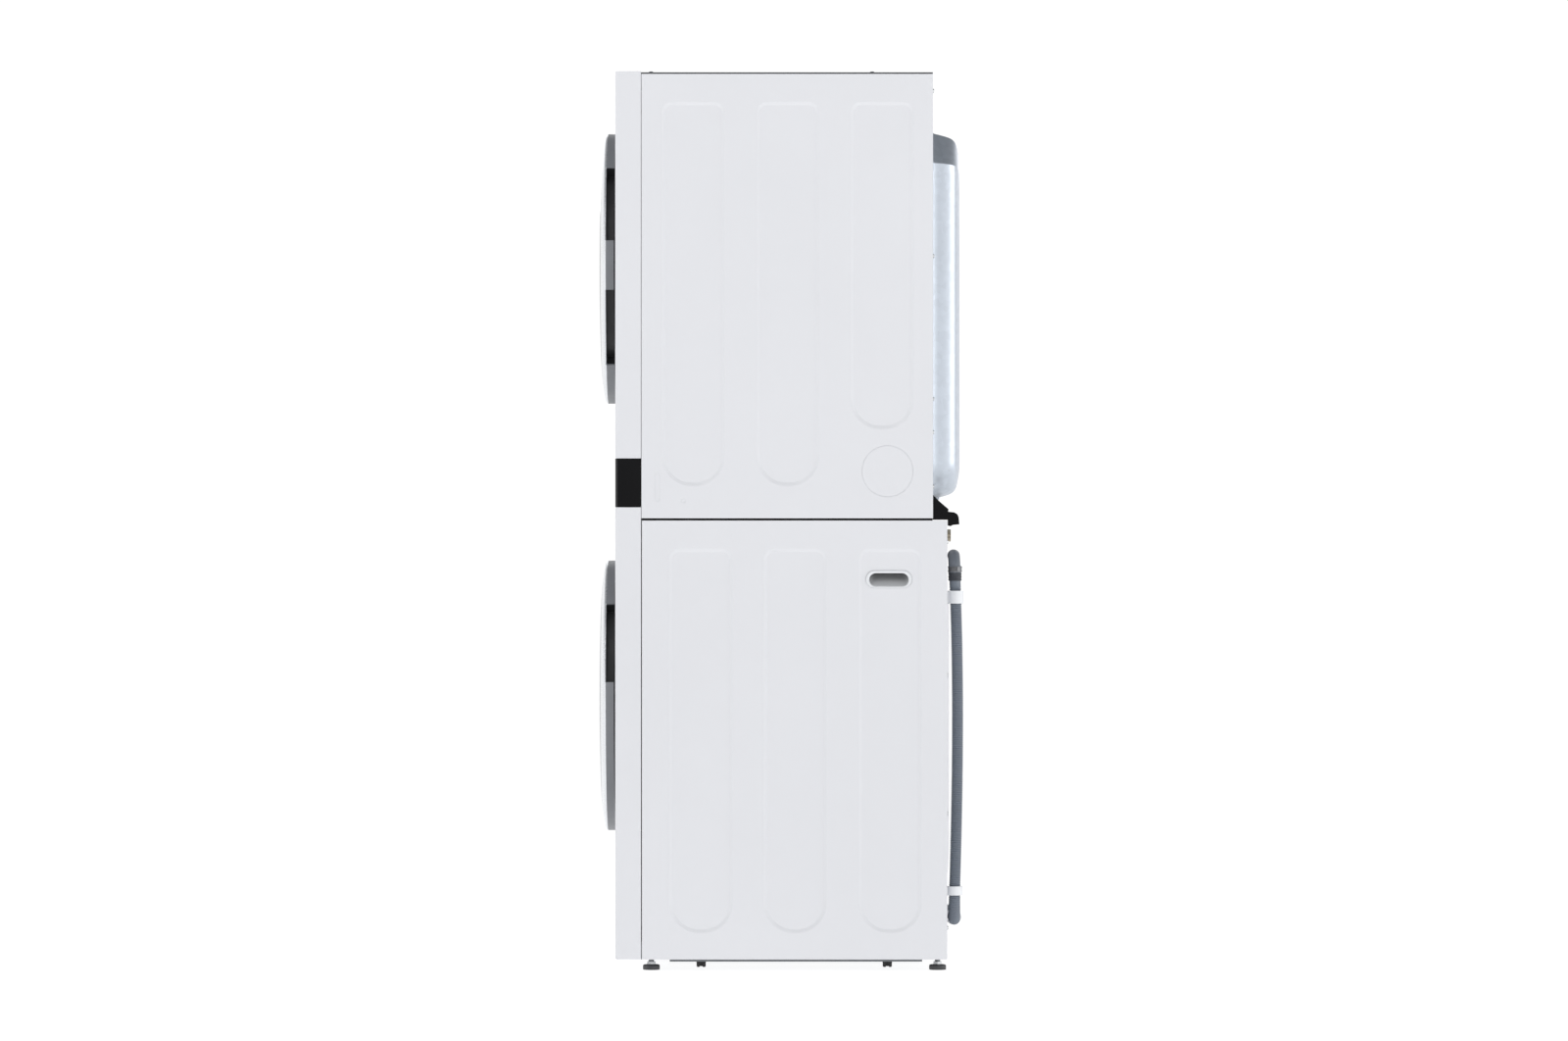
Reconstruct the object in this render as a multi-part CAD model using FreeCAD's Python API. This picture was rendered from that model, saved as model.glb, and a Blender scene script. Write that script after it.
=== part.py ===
import FreeCAD, Part
import os, math
from FreeCAD import Vector as V

os.makedirs("parts", exist_ok=True)

# =====================================================================
# One-piece laundry tower: front-load washer below, vented dryer above.
# Frame: +X to the machine's right, front faces -Y, +Z up.
# Origin: centre of the footprint on the floor.
# =====================================================================

# ---- overall and cabinet (mm) ----
HALF_W = 343.0            # half of the 686 mm width
T = 1.2                   # sheet metal
Y_FRONT = -346.0          # face of the front panels
Y_SEAM = -292.0           # front panel to side panel seam
Y_WREAR = 350.5           # washer back
Y_DREAR = 320.5           # dryer back
Z_CAB = 24.0              # lower edge of the cabinet
Z_WTOP = 944.5            # washer side panel top
Z_DBOT = 949.3            # dryer side panel bottom
Z_CTRL0, Z_CTRL1 = 972.4, 1074.7
Z_DTOP = 1881.0           # dryer side panel top
Z_FTOP = 1886.7           # dryer front panel top
Z_LID = 1884.7            # top plate
Z_ALL = 1889.0            # raised plate on the top

# ---- side panel pressings: (y0, y1, z0, z1) ----
RIB_DEPTH = 2.3
RIB_SLOPE = 7.0
RIBS_DRYER = [(-248.6, -116.6, 1017.0, 1822.4), (-49.6, 82.0, 1017.0, 1822.4), (147.4, 280.8, 1136.4, 1822.4)]
RIBS_WASHER = [(-232.7, -99.5, 80.0, 885.4), (-34.6, 97.4, 80.0, 885.4), (164.9, 297.0, 80.0, 885.4)]
RIB_R_TOP, RIB_R_BOT = 22.0, 62.0

# ---- doors ----
ZW, ZD = 571.0, 1482.0    # door and drum axes
R_DOOR = 288.0
R_OPEN_W, R_OPEN_D = 212.0, 235.0
Y_DOOR_BACK, Y_DOOR_TIP = -350.0, -386.0
HINGE_X, HINGE_Y = -284.0, -357.5
PIN_R, RUN_CLR = 4.0, 0.05
POCKET_W = [(6.7, 43.4)]
POCKET_D = [(10.4, 46.5), (-46.5, -10.4)]

# ---- washer tub and drum ----
R_TUB, T_TUB = 300.0, 4.0
Y_TUB0, Y_TUB1 = -250.0, 262.0
R_WDRUM, T_DRUM = 277.0, 1.5
Y_WD0, Y_WD1 = -232.0, 236.0
R_LIP = 205.0
SHAFT_R = 20.0

# ---- dryer drum and drive ----
R_DDRUM = 325.0
Y_DD0, Y_DD1 = -238.0, 292.0
ROLLER_R, ROLLER_X = 35.0, 152.3
ROLLER_GAP = 0.3
ROLLER_Z = ZD - math.sqrt((R_DDRUM + ROLLER_R + ROLLER_GAP) ** 2 - ROLLER_X ** 2)
MOT_X, MOT_Z = 120.0, 1045.0
PULLEY_R = 11.5
EXH_R, EXH_X, EXH_Z = 50.8, -75.0, 1048.0

# ---- feet ----
FOOT_X, FOOT_YF, FOOT_YR = 290.0, -271.0, 331.0
PAD_R, STEM_R = 18.0, 7.0

# ---- drain hose ----
HOSE_R = 12.5
HOSE_ROUTE = [(-10.0, 364.0, 108.0), (66.0, 366.5, 105.0), (166.0, 368.0, 103.0), (262.0, 367.0, 103.5),
              (300.0, 366.0, 141.5), (300.5, 369.0, 241.0), (301.0, 372.6, 420.0), (300.5, 373.0, 600.0),
              (300.0, 370.4, 740.0), (299.5, 367.4, 822.0)]


# ---------------------------------------------------------------- helpers
def box(x0, x1, y0, y1, z0, z1):
    return Part.makeBox(x1 - x0, y1 - y0, z1 - z0, V(x0, y0, z0))


def cyl_x(y, z, r, x0, x1):
    return Part.makeCylinder(r, x1 - x0, V(x0, y, z), V(1, 0, 0))


def cyl_y(x, z, r, y0, y1):
    return Part.makeCylinder(r, y1 - y0, V(x, y0, z), V(0, 1, 0))


def cyl_z(x, y, r, z0, z1):
    return Part.makeCylinder(r, z1 - z0, V(x, y, z0), V(0, 0, 1))


def tube_y(x, z, ro, ri, y0, y1):
    return cyl_y(x, z, ro, y0, y1).cut(cyl_y(x, z, ri, y0 - 1, y1 + 1))


def revolve(profile, zc, xc=0.0):
    """Closed profile of (radius, y) turned about the line through (xc, zc) along Y."""
    pts = [V(xc + r, y, zc) for r, y in profile]
    face = Part.Face(Part.makePolygon(pts + [pts[0]]))
    return face.revolve(V(xc, 0, zc), V(0, 1, 0), 360)


def sector(zc, ri, ro, y0, y1, a0, a1, xc=0.0):
    """Part ring about Y; angles from +X towards +Z in degrees."""
    pts = [V(xc + ri, y0, zc), V(xc + ro, y0, zc), V(xc + ro, y1, zc), V(xc + ri, y1, zc)]
    face = Part.Face(Part.makePolygon(pts + [pts[0]]))
    face.rotate(V(xc, 0, zc), V(0, -1, 0), a0)
    return face.revolve(V(xc, 0, zc), V(0, -1, 0), a1 - a0)


def fuse(shapes):
    out = shapes[0]
    if len(shapes) > 1:
        out = out.multiFuse(shapes[1:])
    return out.removeSplitter()


def mirror_x(s):
    return s.mirror(V(0, 0, 0), V(1, 0, 0))


def prism_x(pts, x0, x1):
    """(y, z) polygon extruded along X."""
    p = [V(x0, y, z) for y, z in pts]
    return Part.Face(Part.makePolygon(p + [p[0]])).extrude(V(x1 - x0, 0, 0))


def prism_y(pts, y0, y1):
    """(x, z) polygon extruded along Y."""
    p = [V(x, y0, z) for x, z in pts]
    return Part.Face(Part.makePolygon(p + [p[0]])).extrude(V(0, y1 - y0, 0))


def rr_wire(x, y0, y1, z0, z1, rt, rb):
    """Rounded rectangle in a plane of constant X, larger radius rb at its lower corners."""
    c = math.cos(math.radians(45))

    def arc(cy, cz, r, a0):
        a = [math.radians(a0 + d) for d in (0, 45, 90)]
        p = [V(x, cy + r * math.cos(t), cz + r * math.sin(t)) for t in a]
        return Part.Arc(*p).toShape(), p[0], p[2]
    e1, s1, f1 = arc(y1 - rt, z1 - rt, rt, 0)
    e2, s2, f2 = arc(y0 + rt, z1 - rt, rt, 90)
    e3, s3, f3 = arc(y0 + rb, z0 + rb, rb, 180)
    e4, s4, f4 = arc(y1 - rb, z0 + rb, rb, 270)
    L = lambda a, b: Part.LineSegment(a, b).toShape()
    return Part.Wire([e1, L(f1, s2), e2, L(f2, s3), e3, L(f3, s4), e4, L(f4, s1)])


def rr_loft(xa, xb, y0, y1, z0, z1, rt, rb, grow_a, grow_b):
    wa = rr_wire(xa, y0 - grow_a, y1 + grow_a, z0 - grow_a, z1 + grow_a, rt + grow_a, rb + grow_a)
    wb = rr_wire(xb, y0 - grow_b, y1 + grow_b, z0 - grow_b, z1 + grow_b, rt + grow_b, rb + grow_b)
    return Part.makeLoft([wa, wb], True, True)


def slot_x(yc, zc, ly, lz, x0, x1):
    """Stadium bar along X: length ly in Y, height lz in Z."""
    r = lz / 2.0
    h = ly / 2.0 - r
    return fuse([box(x0, x1, yc - h, yc + h, zc - r, zc + r), cyl_x(yc - h, zc, r, x0, x1), cyl_x(yc + h, zc, r, x0, x1)])


def round_edges(shape, r, pick):
    edges = [e for e in shape.Edges if pick(e)]
    try:
        out = shape.makeFillet(r, edges)
        if out.isValid() and out.Solids:
            return out
    except Exception as err:
        print("  fillet skipped:", err)
    return shape


def edge_box(e):
    b = e.BoundBox
    return b.XMin, b.XMax, b.YMin, b.YMax, b.ZMin, b.ZMax


def route_tube(points, r, label, radii=None):
    """Straight runs joined by tangent arcs, swept with a round section."""
    P = [V(*p) for p in points]
    n = len(P)
    starts, ends, edges = {}, {}, []
    for i in range(1, n - 1):
        a, b = (P[i - 1] - P[i]), (P[i + 1] - P[i])
        la, lb = a.Length, b.Length
        a.normalize(); b.normalize()
        turn = math.pi - a.getAngle(b)
        rad = 0.45 * min(la, lb) / math.tan(turn / 2)
        if radii and i in radii:
            rad = radii[i]
        d = rad * math.tan(turn / 2)
        s, f = P[i] + a * d, P[i] + b * d
        mid_dir = (a + b); mid_dir.normalize()
        h = rad / math.cos(turn / 2) - rad
        starts[i], ends[i] = s, f
        edges.append((i, s, P[i] + mid_dir * h, f))
        print("  %s point %d: run %.0f / %.0f, turn %.1f deg, radius %.0f" % (label, i, la, lb, math.degrees(turn), rad))
    path = []
    here = P[0]
    for i, s, m, f in edges:
        path.append(Part.LineSegment(here, s).toShape())
        path.append(Part.Arc(s, m, f).toShape())
        here = f
    path.append(Part.LineSegment(here, P[-1]).toShape())
    wire = Part.Wire(path)
    d0 = P[1] - P[0]
    prof = Part.Wire([Part.Circle(P[0], d0, r).toShape()])
    tube = wire.makePipeShell([prof], True, False)
    length = wire.Length
    print("  %s length %.1f mm, volume ratio %.5f" % (label, length, tube.Volume / (math.pi * r * r * length)))
    return tube


NODES = []


def save(name, shape):
    if isinstance(shape, (list, tuple)):
        shape = Part.makeCompound([s for x in shape for s in x.Solids])
    elif shape.ShapeType != "Solid":
        sol = shape.Solids
        shape = sol[0] if len(sol) == 1 else Part.makeCompound(sol)
    b = shape.BoundBox
    ok = all(s.isValid() and s.isClosed() for s in shape.Solids)
    print("%-24s solids %2d valid %s vol %.0f cm3  x %.1f..%.1f y %.1f..%.1f z %.1f..%.1f" % (
        name, len(shape.Solids), ok, shape.Volume / 1000.0, b.XMin, b.XMax, b.YMin, b.YMax, b.ZMin, b.ZMax))
    shape.exportStep("parts/%s.step" % name)
    NODES.append(name)


# ---------------------------------------------------------------- base and feet
feet_xy = [(sx * FOOT_X, y) for sx in (-1, 1) for y in (FOOT_YF, FOOT_YR)]
pan = box(-341.6, 341.6, -291.6, 349.1, Z_CAB, 58.0).cut(box(-339.6, 339.6, -289.6, 347.1, Z_CAB + 2, 60.0))
parts = [pan]
for x, y in feet_xy:
    parts.append(cyl_z(x, y, 14.0, Z_CAB + 2, 50.0))
for sx in (-1, 1):
    parts.append(box(min(sx * 296, sx * 322), max(sx * 296, sx * 322), -232.0, 298.0, 18.5, Z_CAB))
    # two short locating tabs under each rail
base = fuse(parts)
for x, y in feet_xy:
    base = base.cut(cyl_z(x, y, STEM_R + RUN_CLR, 10.0, 70.0))
save("base_frame", base)

feet = []
for x, y in feet_xy:
    pad = Part.makeCylinder(PAD_R, 9.0, V(x, y, 0))
    cone = Part.makeCone(PAD_R, 10.0, 3.0, V(x, y, 9.0))
    stem = cyl_z(x, y, STEM_R, 11.0, 66.0)
    feet.append(fuse([pad, cone, stem]))
save("leveling_feet", feet)

bumpers = []
for sx in (-1, 1):
    for y in (-166.0, 225.0):
        b = box(sx * 309 - 11, sx * 309 + 11, y - 11, y + 11, 7.0, 18.5)
        b = round_edges(b, 2.5, lambda e: e.BoundBox.ZMax < 18.4 or (e.BoundBox.ZLength > 5))
        bumpers.append(b)
save("base_bumpers", bumpers)

# ---------------------------------------------------------------- side panels
def side_panel(y1, z0, z1, ribs, cups, knock, gap):
    y0 = Y_SEAM + gap
    sheet = box(HALF_W - T, HALF_W, y0, y1, z0, z1)
    pads, cuts = [], []
    for (ya, yb, za, zb) in ribs:
        pads.append(rr_loft(HALF_W - T, HALF_W - T - RIB_DEPTH, ya, yb, za, zb, RIB_R_TOP, RIB_R_BOT, 1.0, 1.0 - RIB_SLOPE))
        cuts.append(rr_loft(HALF_W, HALF_W - RIB_DEPTH, ya, yb, za, zb, RIB_R_TOP, RIB_R_BOT, 0.0, -RIB_SLOPE))
        cuts.append(rr_loft(HALF_W + 1, HALF_W, ya, yb, za, zb, RIB_R_TOP, RIB_R_BOT, 0.0, 0.0))
    flange_t = box(HALF_W - 22, HALF_W - T, y0, y1 - 3 * T, z1 - T, z1)
    flange_r = box(HALF_W - 18, HALF_W - T, y1 - 2 * T - 0.05, y1 - T - 0.05, z0 + 36, z1 - T)
    flange_f = box(HALF_W - 18, HALF_W - T, y0, y0 + T, z0 + 36, z1 - T)
    p = fuse([sheet, flange_t, flange_r, flange_f] + pads)
    for c in cuts:
        p = p.cut(c)
    if cups:
        p = p.cut(slot_x(228.0, 821.3, 97.0, 37.0, HALF_W - 8, HALF_W + 2))
        # bracket that carries the suspension spring
        p = fuse([p, box(288.0, HALF_W - T - 0.0, -34.0, -6.0, 880.0, 884.0)])
    if knock:
        p = p.cut(cyl_x(225.3, 1047.8, 54.3, HALF_W - 0.6, HALF_W + 1).cut(cyl_x(225.3, 1047.8, 52.9, HALF_W - 1, HALF_W + 2)))
        # shallow pressed slot and dimple low at the front
        p = p.cut(fuse([box(HALF_W - 0.5, HALF_W + 1, -262.5, -252.5, 989.0, 1038.5),
                        cyl_x(-257.5, 989.0, 5.0, HALF_W - 0.5, HALF_W + 1), cyl_x(-257.5, 1038.5, 5.0, HALF_W - 0.5, HALF_W + 1)]))
        p = p.cut(cyl_x(-202.7, 985.7, 4.5, HALF_W - 0.5, HALF_W + 1))
    return p


wsr = side_panel(Y_WREAR, Z_CAB, Z_WTOP, RIBS_WASHER, True, False, 1.9)
dsr = side_panel(Y_DREAR, Z_DBOT, Z_DTOP, RIBS_DRYER, False, True, 1.0)
save("washer_side_right", wsr)
save("washer_side_left", mirror_x(wsr))
save("dryer_side_right", dsr)
save("dryer_side_left", mirror_x(dsr))

cup = slot_x(228.0, 821.3, 103.0, 45.3, 340.75, 342.6)
cup = fuse([cup, slot_x(228.0, 821.3, 96.4, 36.4, 312.0, 340.75)])
cup = cup.cut(slot_x(228.0, 824.3, 92.0, 30.0, 314.0, 345.0))
save("grip_cups", [cup, mirror_x(cup)])

# ---------------------------------------------------------------- front panels
def front_panel(z0, z1, zc, r_open, cuts=()):
    p = box(-HALF_W, HALF_W, Y_FRONT, Y_SEAM, z0, z1)

    def outer(e):
        x0, x1, ya, yb, za, zb = edge_box(e)
        vert = (zb - za) > 100 and yb < Y_FRONT + 0.1
        horiz = (x1 - x0) > 300 and yb < Y_FRONT + 0.1
        return vert or horiz
    p = round_edges(p, 3.5, outer)
    hollow = box(-HALF_W + T, HALF_W - T, Y_FRONT + T, Y_SEAM + 1, z0 + T, z1 - T)
    hollow = round_edges(hollow, 2.3, lambda e: e.BoundBox.YMax < Y_FRONT + T + 0.1 and max(e.BoundBox.XLength, e.BoundBox.ZLength) > 100)
    p = p.cut(hollow)
    p = p.cut(cyl_y(0, zc, r_open, Y_FRONT - 1, Y_FRONT + 3))
    p = fuse([p, tube_y(0, zc, r_open + T, r_open, Y_FRONT + T - 0.2, Y_FRONT + 16)])
    xs = r_open + 18
    p = p.cut(box(xs, xs + 22, Y_FRONT - 1, Y_FRONT + 3, zc - 14, zc + 14))
    for c in cuts:
        p = p.cut(c)
    return p


DRW = (-320.0, -106.0, 866.0, 962.0)      # drawer opening x0, x1, z0, z1
FLP = (-306.0, -174.0, 66.0, 196.0)       # filter flap opening
wfp = front_panel(Z_CAB, Z_CTRL0 - 0.2, ZW, R_OPEN_W,
                  [box(DRW[0], DRW[1], Y_FRONT - 1, Y_FRONT + 3, DRW[2], DRW[3]),
                   box(FLP[0], FLP[1], Y_FRONT - 1, Y_FRONT + 3, FLP[2], FLP[3])])
save("washer_front_panel", wfp)
dfp = front_panel(Z_CTRL1 + 0.2, Z_FTOP, ZD, R_OPEN_D)
save("dryer_front_panel", dfp)

# ---------------------------------------------------------------- control block
ch = box(-HALF_W, HALF_W, Y_FRONT + 4.6, Y_SEAM, Z_CTRL0, Z_CTRL1)
ch = ch.cut(box(-HALF_W + 3, HALF_W - 3, Y_FRONT + 7.6, Y_SEAM + 1, Z_CTRL0 + 3, Z_CTRL1 - 3))
save("control_housing", ch)
cg = box(-HALF_W, HALF_W, Y_FRONT, Y_FRONT + 4.6, Z_CTRL0, Z_CTRL1)
cg = round_edges(cg, 3.0, lambda e: e.BoundBox.YMax < Y_FRONT + 0.1 and e.BoundBox.ZLength > 50)
save("control_glass", cg)

# ---------------------------------------------------------------- doors and hinges
def door(prefix, zc, pockets, bowl):
    # hollow ring frame: outer wall, rear plate, inner wall
    frame = revolve([(R_DOOR, -350.0), (R_DOOR, -367.0), (284.8, -367.0), (284.8, -353.0), (250.0, -353.0),
                     (250.0, -375.6), (246.8, -375.6), (246.8, -353.0), (205.0, -353.0), (205.0, -350.0)], zc)
    # finger pockets: a scooped shell behind the rim on the opening side
    for a0, a1 in pockets:
        frame = frame.cut(sector(zc, 262.0, 292.0, -367.1, -349.0, a0, a1))
        cupw = sector(zc, 259.5, 262.0, -368.4, -350.0, a0 - 0.6, a1 + 0.6)
        ends = [sector(zc, 262.0, 284.8, -367.1, -350.0, a, a + 0.6) for a in (a0 - 0.6, a1)]
        ends += [sector(zc, 262.0, 282.5, -368.4, -367.0, a, a + 0.6) for a in (a0 - 0.6, a1)]
        cape = fuse([cupw, sector(zc, 262.0, 282.5, -368.4, -367.2, a0 - 0.6, a1 + 0.6)] + ends)
        frame = fuse([frame, cape])
    # room for the hinge knuckles
    for s in (-1, 1):
        za, zb = sorted((zc + s * 47.0, zc + s * 71.0))
        frame = frame.cut(box(-292.0, -250.5, -367.1, -349.0, za, zb))
    frame = frame.cut(box(-292.0, -272.0, -367.1, -349.0, zc - 47.5, zc + 47.5))
    r_o = R_OPEN_W if bowl else R_OPEN_D
    xh = r_o + 24
    hook = fuse([box(xh, xh + 6, -352.0, -331.0, zc - 9, zc + 9), box(xh - 3, xh, -335.0, -331.0, zc - 9, zc + 9)])
    frame = fuse([frame, hook])
    leaf = fuse([cyl_z(HINGE_X, HINGE_Y, 6.0, zc - 46.5, zc + 46.5),
                 box(HINGE_X, -251.0, -358.0, -353.0, zc - 44.0, zc + 44.0)])
    leaf = leaf.cut(cyl_z(HINGE_X, HINGE_Y, PIN_R + RUN_CLR, zc - 60, zc + 60))
    save(prefix + "_door_frame", [frame, leaf])
    ring = revolve([(R_DOOR, -367.1), (287.3, -369.5), (285.0, -371.6), (279.0, -373.6), (266.0, -376.0),
                    (256.0, -377.6), (248.0, -378.9), (248.0, -376.4), (256.0, -375.1), (266.0, -373.5),
                    (278.2, -371.2), (283.0, -369.4), (284.6, -367.1)], zc)
    for a0, a1 in pockets:
        ring = ring.cut(sector(zc, 284.45, 292.0, -369.0, -349.0, a0, a1))
    save(prefix + "_door_ring", ring)
    glass = revolve([(0.0, -386.0), (60.0, -385.8), (120.0, -384.9), (180.0, -383.1), (225.0, -380.9), (247.6, -379.0),
                     (247.6, -376.4), (225.0, -377.0), (180.0, -379.1), (120.0, -380.9), (60.0, -381.8), (0.0, -382.0)], zc)
    save(prefix + "_door_glass", glass)
    if bowl:
        inner = revolve([(204.7, -353.0), (204.7, -350.0), (180.0, -350.0), (171.0, -330.0), (158.0, -275.0), (149.0, -250.0),
                         (132.0, -241.0), (90.0, -238.4), (0.0, -238.0), (0.0, -242.0), (88.0, -242.4), (129.5, -245.0),
                         (145.4, -253.2), (154.0, -277.0), (167.2, -331.5), (176.0, -353.0)], zc)
        save(prefix + "_door_bowl", inner)
    else:
        inner = revolve([(204.7, -353.0), (204.7, -350.0), (202.0, -350.0), (197.0, -318.0), (186.0, -308.0), (0.0, -306.0),
                         (0.0, -309.0), (184.5, -311.0), (194.3, -319.5), (198.8, -350.0), (198.8, -353.0)], zc)
        save(prefix + "_door_inner_panel", inner)


door("washer", ZW, POCKET_W, True)
door("dryer", ZD, POCKET_D, False)

brackets = []
for zc in (ZW, ZD):
    b = [box(HINGE_X, -236.0, -348.0, -346.0, zc - 75, zc + 75), cyl_z(HINGE_X, HINGE_Y, PIN_R, zc - 67, zc + 67)]
    for s in (-1, 1):
        za, zb = sorted((zc + s * 47.0, zc + s * 67.0))
        k = cyl_z(HINGE_X, HINGE_Y, 6.0, za, zb)
        web = box(HINGE_X + 1.0, HINGE_X + 26.0, -352.0, -347.0, za, zb)
        neck = box(HINGE_X + 1.0, HINGE_X + 6.0, HINGE_Y - 1.0, -350.0, za, zb)
        b += [k, web, neck]
    brackets.append(fuse(b))
save("hinge_brackets", brackets)

locks = []
for zc, r_o in ((ZW, R_OPEN_W), (ZD, R_OPEN_D)):
    x0 = r_o + 14
    b = box(x0, x0 + 34, -344.8, -306.0, zc - 34, zc + 34)
    b = b.cut(box(x0 + 3, x0 + 27, -346.0, -322.0, zc - 15, zc + 15))
    locks.append(b)
save("door_locks", locks)

# ---------------------------------------------------------------- detergent drawer
hx0, hx1, hz0, hz1 = -313.0, -113.0, 872.0, 942.0
house = box(hx0, hx1, -340.6, -84.0, hz0, hz1).cut(box(hx0 + 2, hx1 - 2, -346.0, -86.0, hz0 + 2, hz1 - 2))
save("dispenser_housing", house)
tray = box(-306.0, -120.0, -340.0, -96.0, 876.0, 934.0)
tray = tray.cut(box(-303.5, -222.0, -337.5, -98.5, 878.5, 942.0))
tray = tray.cut(box(-219.5, -166.0, -337.5, -98.5, 878.5, 942.0))
tray = tray.cut(box(-163.5, -122.5, -337.5, -98.5, 878.5, 942.0))
face = box(DRW[0] + 1.2, DRW[1] - 1.2, Y_FRONT, -341.0, DRW[2] + 1.2, DRW[3] - 1.2)
face = round_edges(face, 1.5, lambda e: e.BoundBox.YMax < Y_FRONT + 0.1)
face = face.cut(prism_x([(-347.0, 866.0), (-347.0, 880.0), (-343.0, 884.0), (-343.0, 866.0)], -263.0, -163.0))
drawer = fuse([tray, face, box(-306.0, -120.0, -341.0, -340.0, 876.0, 934.0)])
save("dispenser_drawer", drawer)

# ---------------------------------------------------------------- pump, filter and flap
PX, PZ = -240.0, 131.0
flap = box(FLP[0] + 1.0, FLP[1] - 1.0, Y_FRONT, -343.4, FLP[2] + 1.0, FLP[3] - 1.0)
flap = round_edges(flap, 1.0, lambda e: e.BoundBox.YMax < Y_FRONT + 0.1)
flap = flap.cut(box(-258.0, -222.0, -347.0, -344.6, FLP[3] - 8.0, FLP[3] + 1))
# rolled lower edge that the flap turns on
flap = flap.cut(box(FLP[0], FLP[1], -347.0, -343.0, FLP[2], 68.2))
flap = fuse([flap, cyl_x(-344.8, 68.2, 1.2, FLP[0] + 1.0, FLP[1] - 1.0)])
save("filter_flap", flap)
pf = revolve([(0, -322.0), (33.0, -322.0), (33.0, -312.0), (25.9, -312.0), (25.9, -255.0), (14.0, -248.0), (0, -248.0)], PZ, PX)
pf = fuse([pf, box(PX - 25, PX + 25, -337.0, -321.0, PZ - 5, PZ + 5)])
save("pump_filter", pf)
pump = tube_y(PX, PZ, 33.0, 26.0, -311.0, -235.0)
pump = fuse([pump, cyl_y(PX, PZ, 45.0, -235.0, -195.0), cyl_y(PX, PZ, 34.0, -195.0, -130.0),
             box(PX - 40, PX + 40, -300.0, -150.0, 60.0, 74.0), box(PX - 28, PX + 28, -300.0, -150.0, 72.0, 112.0),
             cyl_x(-215.0, PZ + 18, 13.0, PX + 20, PX + 78), cyl_z(PX, -215.0, 20.0, PZ + 20, PZ + 72)])
pump = pump.cut(cyl_y(PX, PZ, 26.0, -320.0, -240.0))
pump = pump.cut(box(PX - 42, PX + 42, -301.0, -149.0, 20.0, 58.2))
save("drain_pump", pump)

# ---------------------------------------------------------------- tub, drum and suspension
tub = fuse([
    tube_y(0, ZW, R_TUB, R_TUB - T_TUB, Y_TUB0, Y_TUB1),
    tube_y(0, ZW, R_TUB - 1, R_LIP - 1, Y_TUB0, Y_TUB0 + 4),
    tube_y(0, ZW, R_LIP + 4, R_LIP - 1, -292.0, Y_TUB0 + 2),
    tube_y(0, ZW, R_TUB - 1, SHAFT_R + RUN_CLR, Y_TUB1 - 4, Y_TUB1),
    tube_y(0, ZW, 52.0, SHAFT_R + RUN_CLR, Y_TUB1 - 1, 290.0),
] + [box(sx * 285 - 15, sx * 285 + 15, -33.0, -7.0, 690.0, 704.0) for sx in (-1, 1)]
  + [box(sx * 190 - 15, sx * 190 + 15, y - 15, y + 15, 318.0, 352.0) for sx in (-1, 1) for y in (-100.0, 110.0)]
  + [tube_y(0, ZW, R_TUB + 6, R_TUB - 1, y, y + 6) for y in (-244.0, -20.0, 120.0, 244.0)])
tub = tub.cut(cyl_y(0, ZW, R_TUB - T_TUB, Y_TUB0 + 4.0, Y_TUB1 - 4.0))
save("tub_shell", tub)
cw = [sector(ZW, 214.0, 292.0, -300.0, Y_TUB0 - 0.02, 25, 155), sector(ZW, 214.0, 292.0, -300.0, Y_TUB0 - 0.02, 205, 335)]
save("counterweights", cw)
stator = tube_y(0, ZW, 130.0, 53.0, 292.0, 314.0)
stator = fuse([stator, tube_y(0, ZW, 64.0, 52.1, Y_TUB1 + 0.02, 292.5)])
save("motor_stator", stator)
rotor = fuse([tube_y(0, ZW, 140.0, 135.0, 290.0, 324.0), tube_y(0, ZW, 136.0, 12.05, 320.0, 324.0), tube_y(0, ZW, 26.0, 12.05, 310.0, 321.0)])
save("motor_rotor", rotor)
wd = fuse([tube_y(0, ZW, R_WDRUM, R_WDRUM - T_DRUM, Y_WD0, Y_WD1),
           tube_y(0, ZW, R_WDRUM - 1, 212.0, Y_WD0, Y_WD0 + T_DRUM),
           cyl_y(0, ZW, R_WDRUM - 1, Y_WD1 - T_DRUM, Y_WD1)])
lift = []
for a in (90, 210, 330):
    c, s = math.cos(math.radians(a)), math.sin(math.radians(a))
    prof = [(-34, 276.2), (-24, 250.0), (-10, 232.0), (10, 232.0), (24, 250.0), (34, 276.2)]
    # section across the paddle, tangential offset t and radius r
    pts = [V(-s * t + c * r, -190.0, ZW + c * t + s * r) for t, r in prof]
    lift.append(Part.Face(Part.makePolygon(pts + [pts[0]])).extrude(V(0, 380.0, 0)).common(cyl_y(0, ZW, 276.0, -230.0, 235.0)))
save("washer_drum", fuse([wd] + lift))
sp = [cyl_y(0, ZW, 46.0, Y_WD1, 256.0), cyl_y(0, ZW, SHAFT_R, 250.0, 309.5), cyl_y(0, ZW, 12.0, 300.0, 330.0)]
for a in (30, 150, 270):
    arm = box(0, 266.0, Y_WD1, 252.0, ZW - 20, ZW + 20)
    arm.rotate(V(0, 0, ZW), V(0, -1, 0), a)
    sp.append(arm)
save("drum_spider", fuse(sp))

gp = [(211.7, -344.2), (211.7, -337.0), (208.5, -334.0), (211.0, -328.0), (205.5, -321.0), (211.0, -314.0), (205.5, -307.0),
      (209.0, -299.0), (209.0, -292.3)]
gi = [(204.5, -292.3), (204.5, -299.0), (201.2, -307.0), (206.5, -314.0), (201.2, -321.0), (206.0, -328.0), (203.0, -333.0), (194.0, -340.0), (190.0, -344.2)]
save("door_gasket", revolve(gp + gi, ZW))

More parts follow.
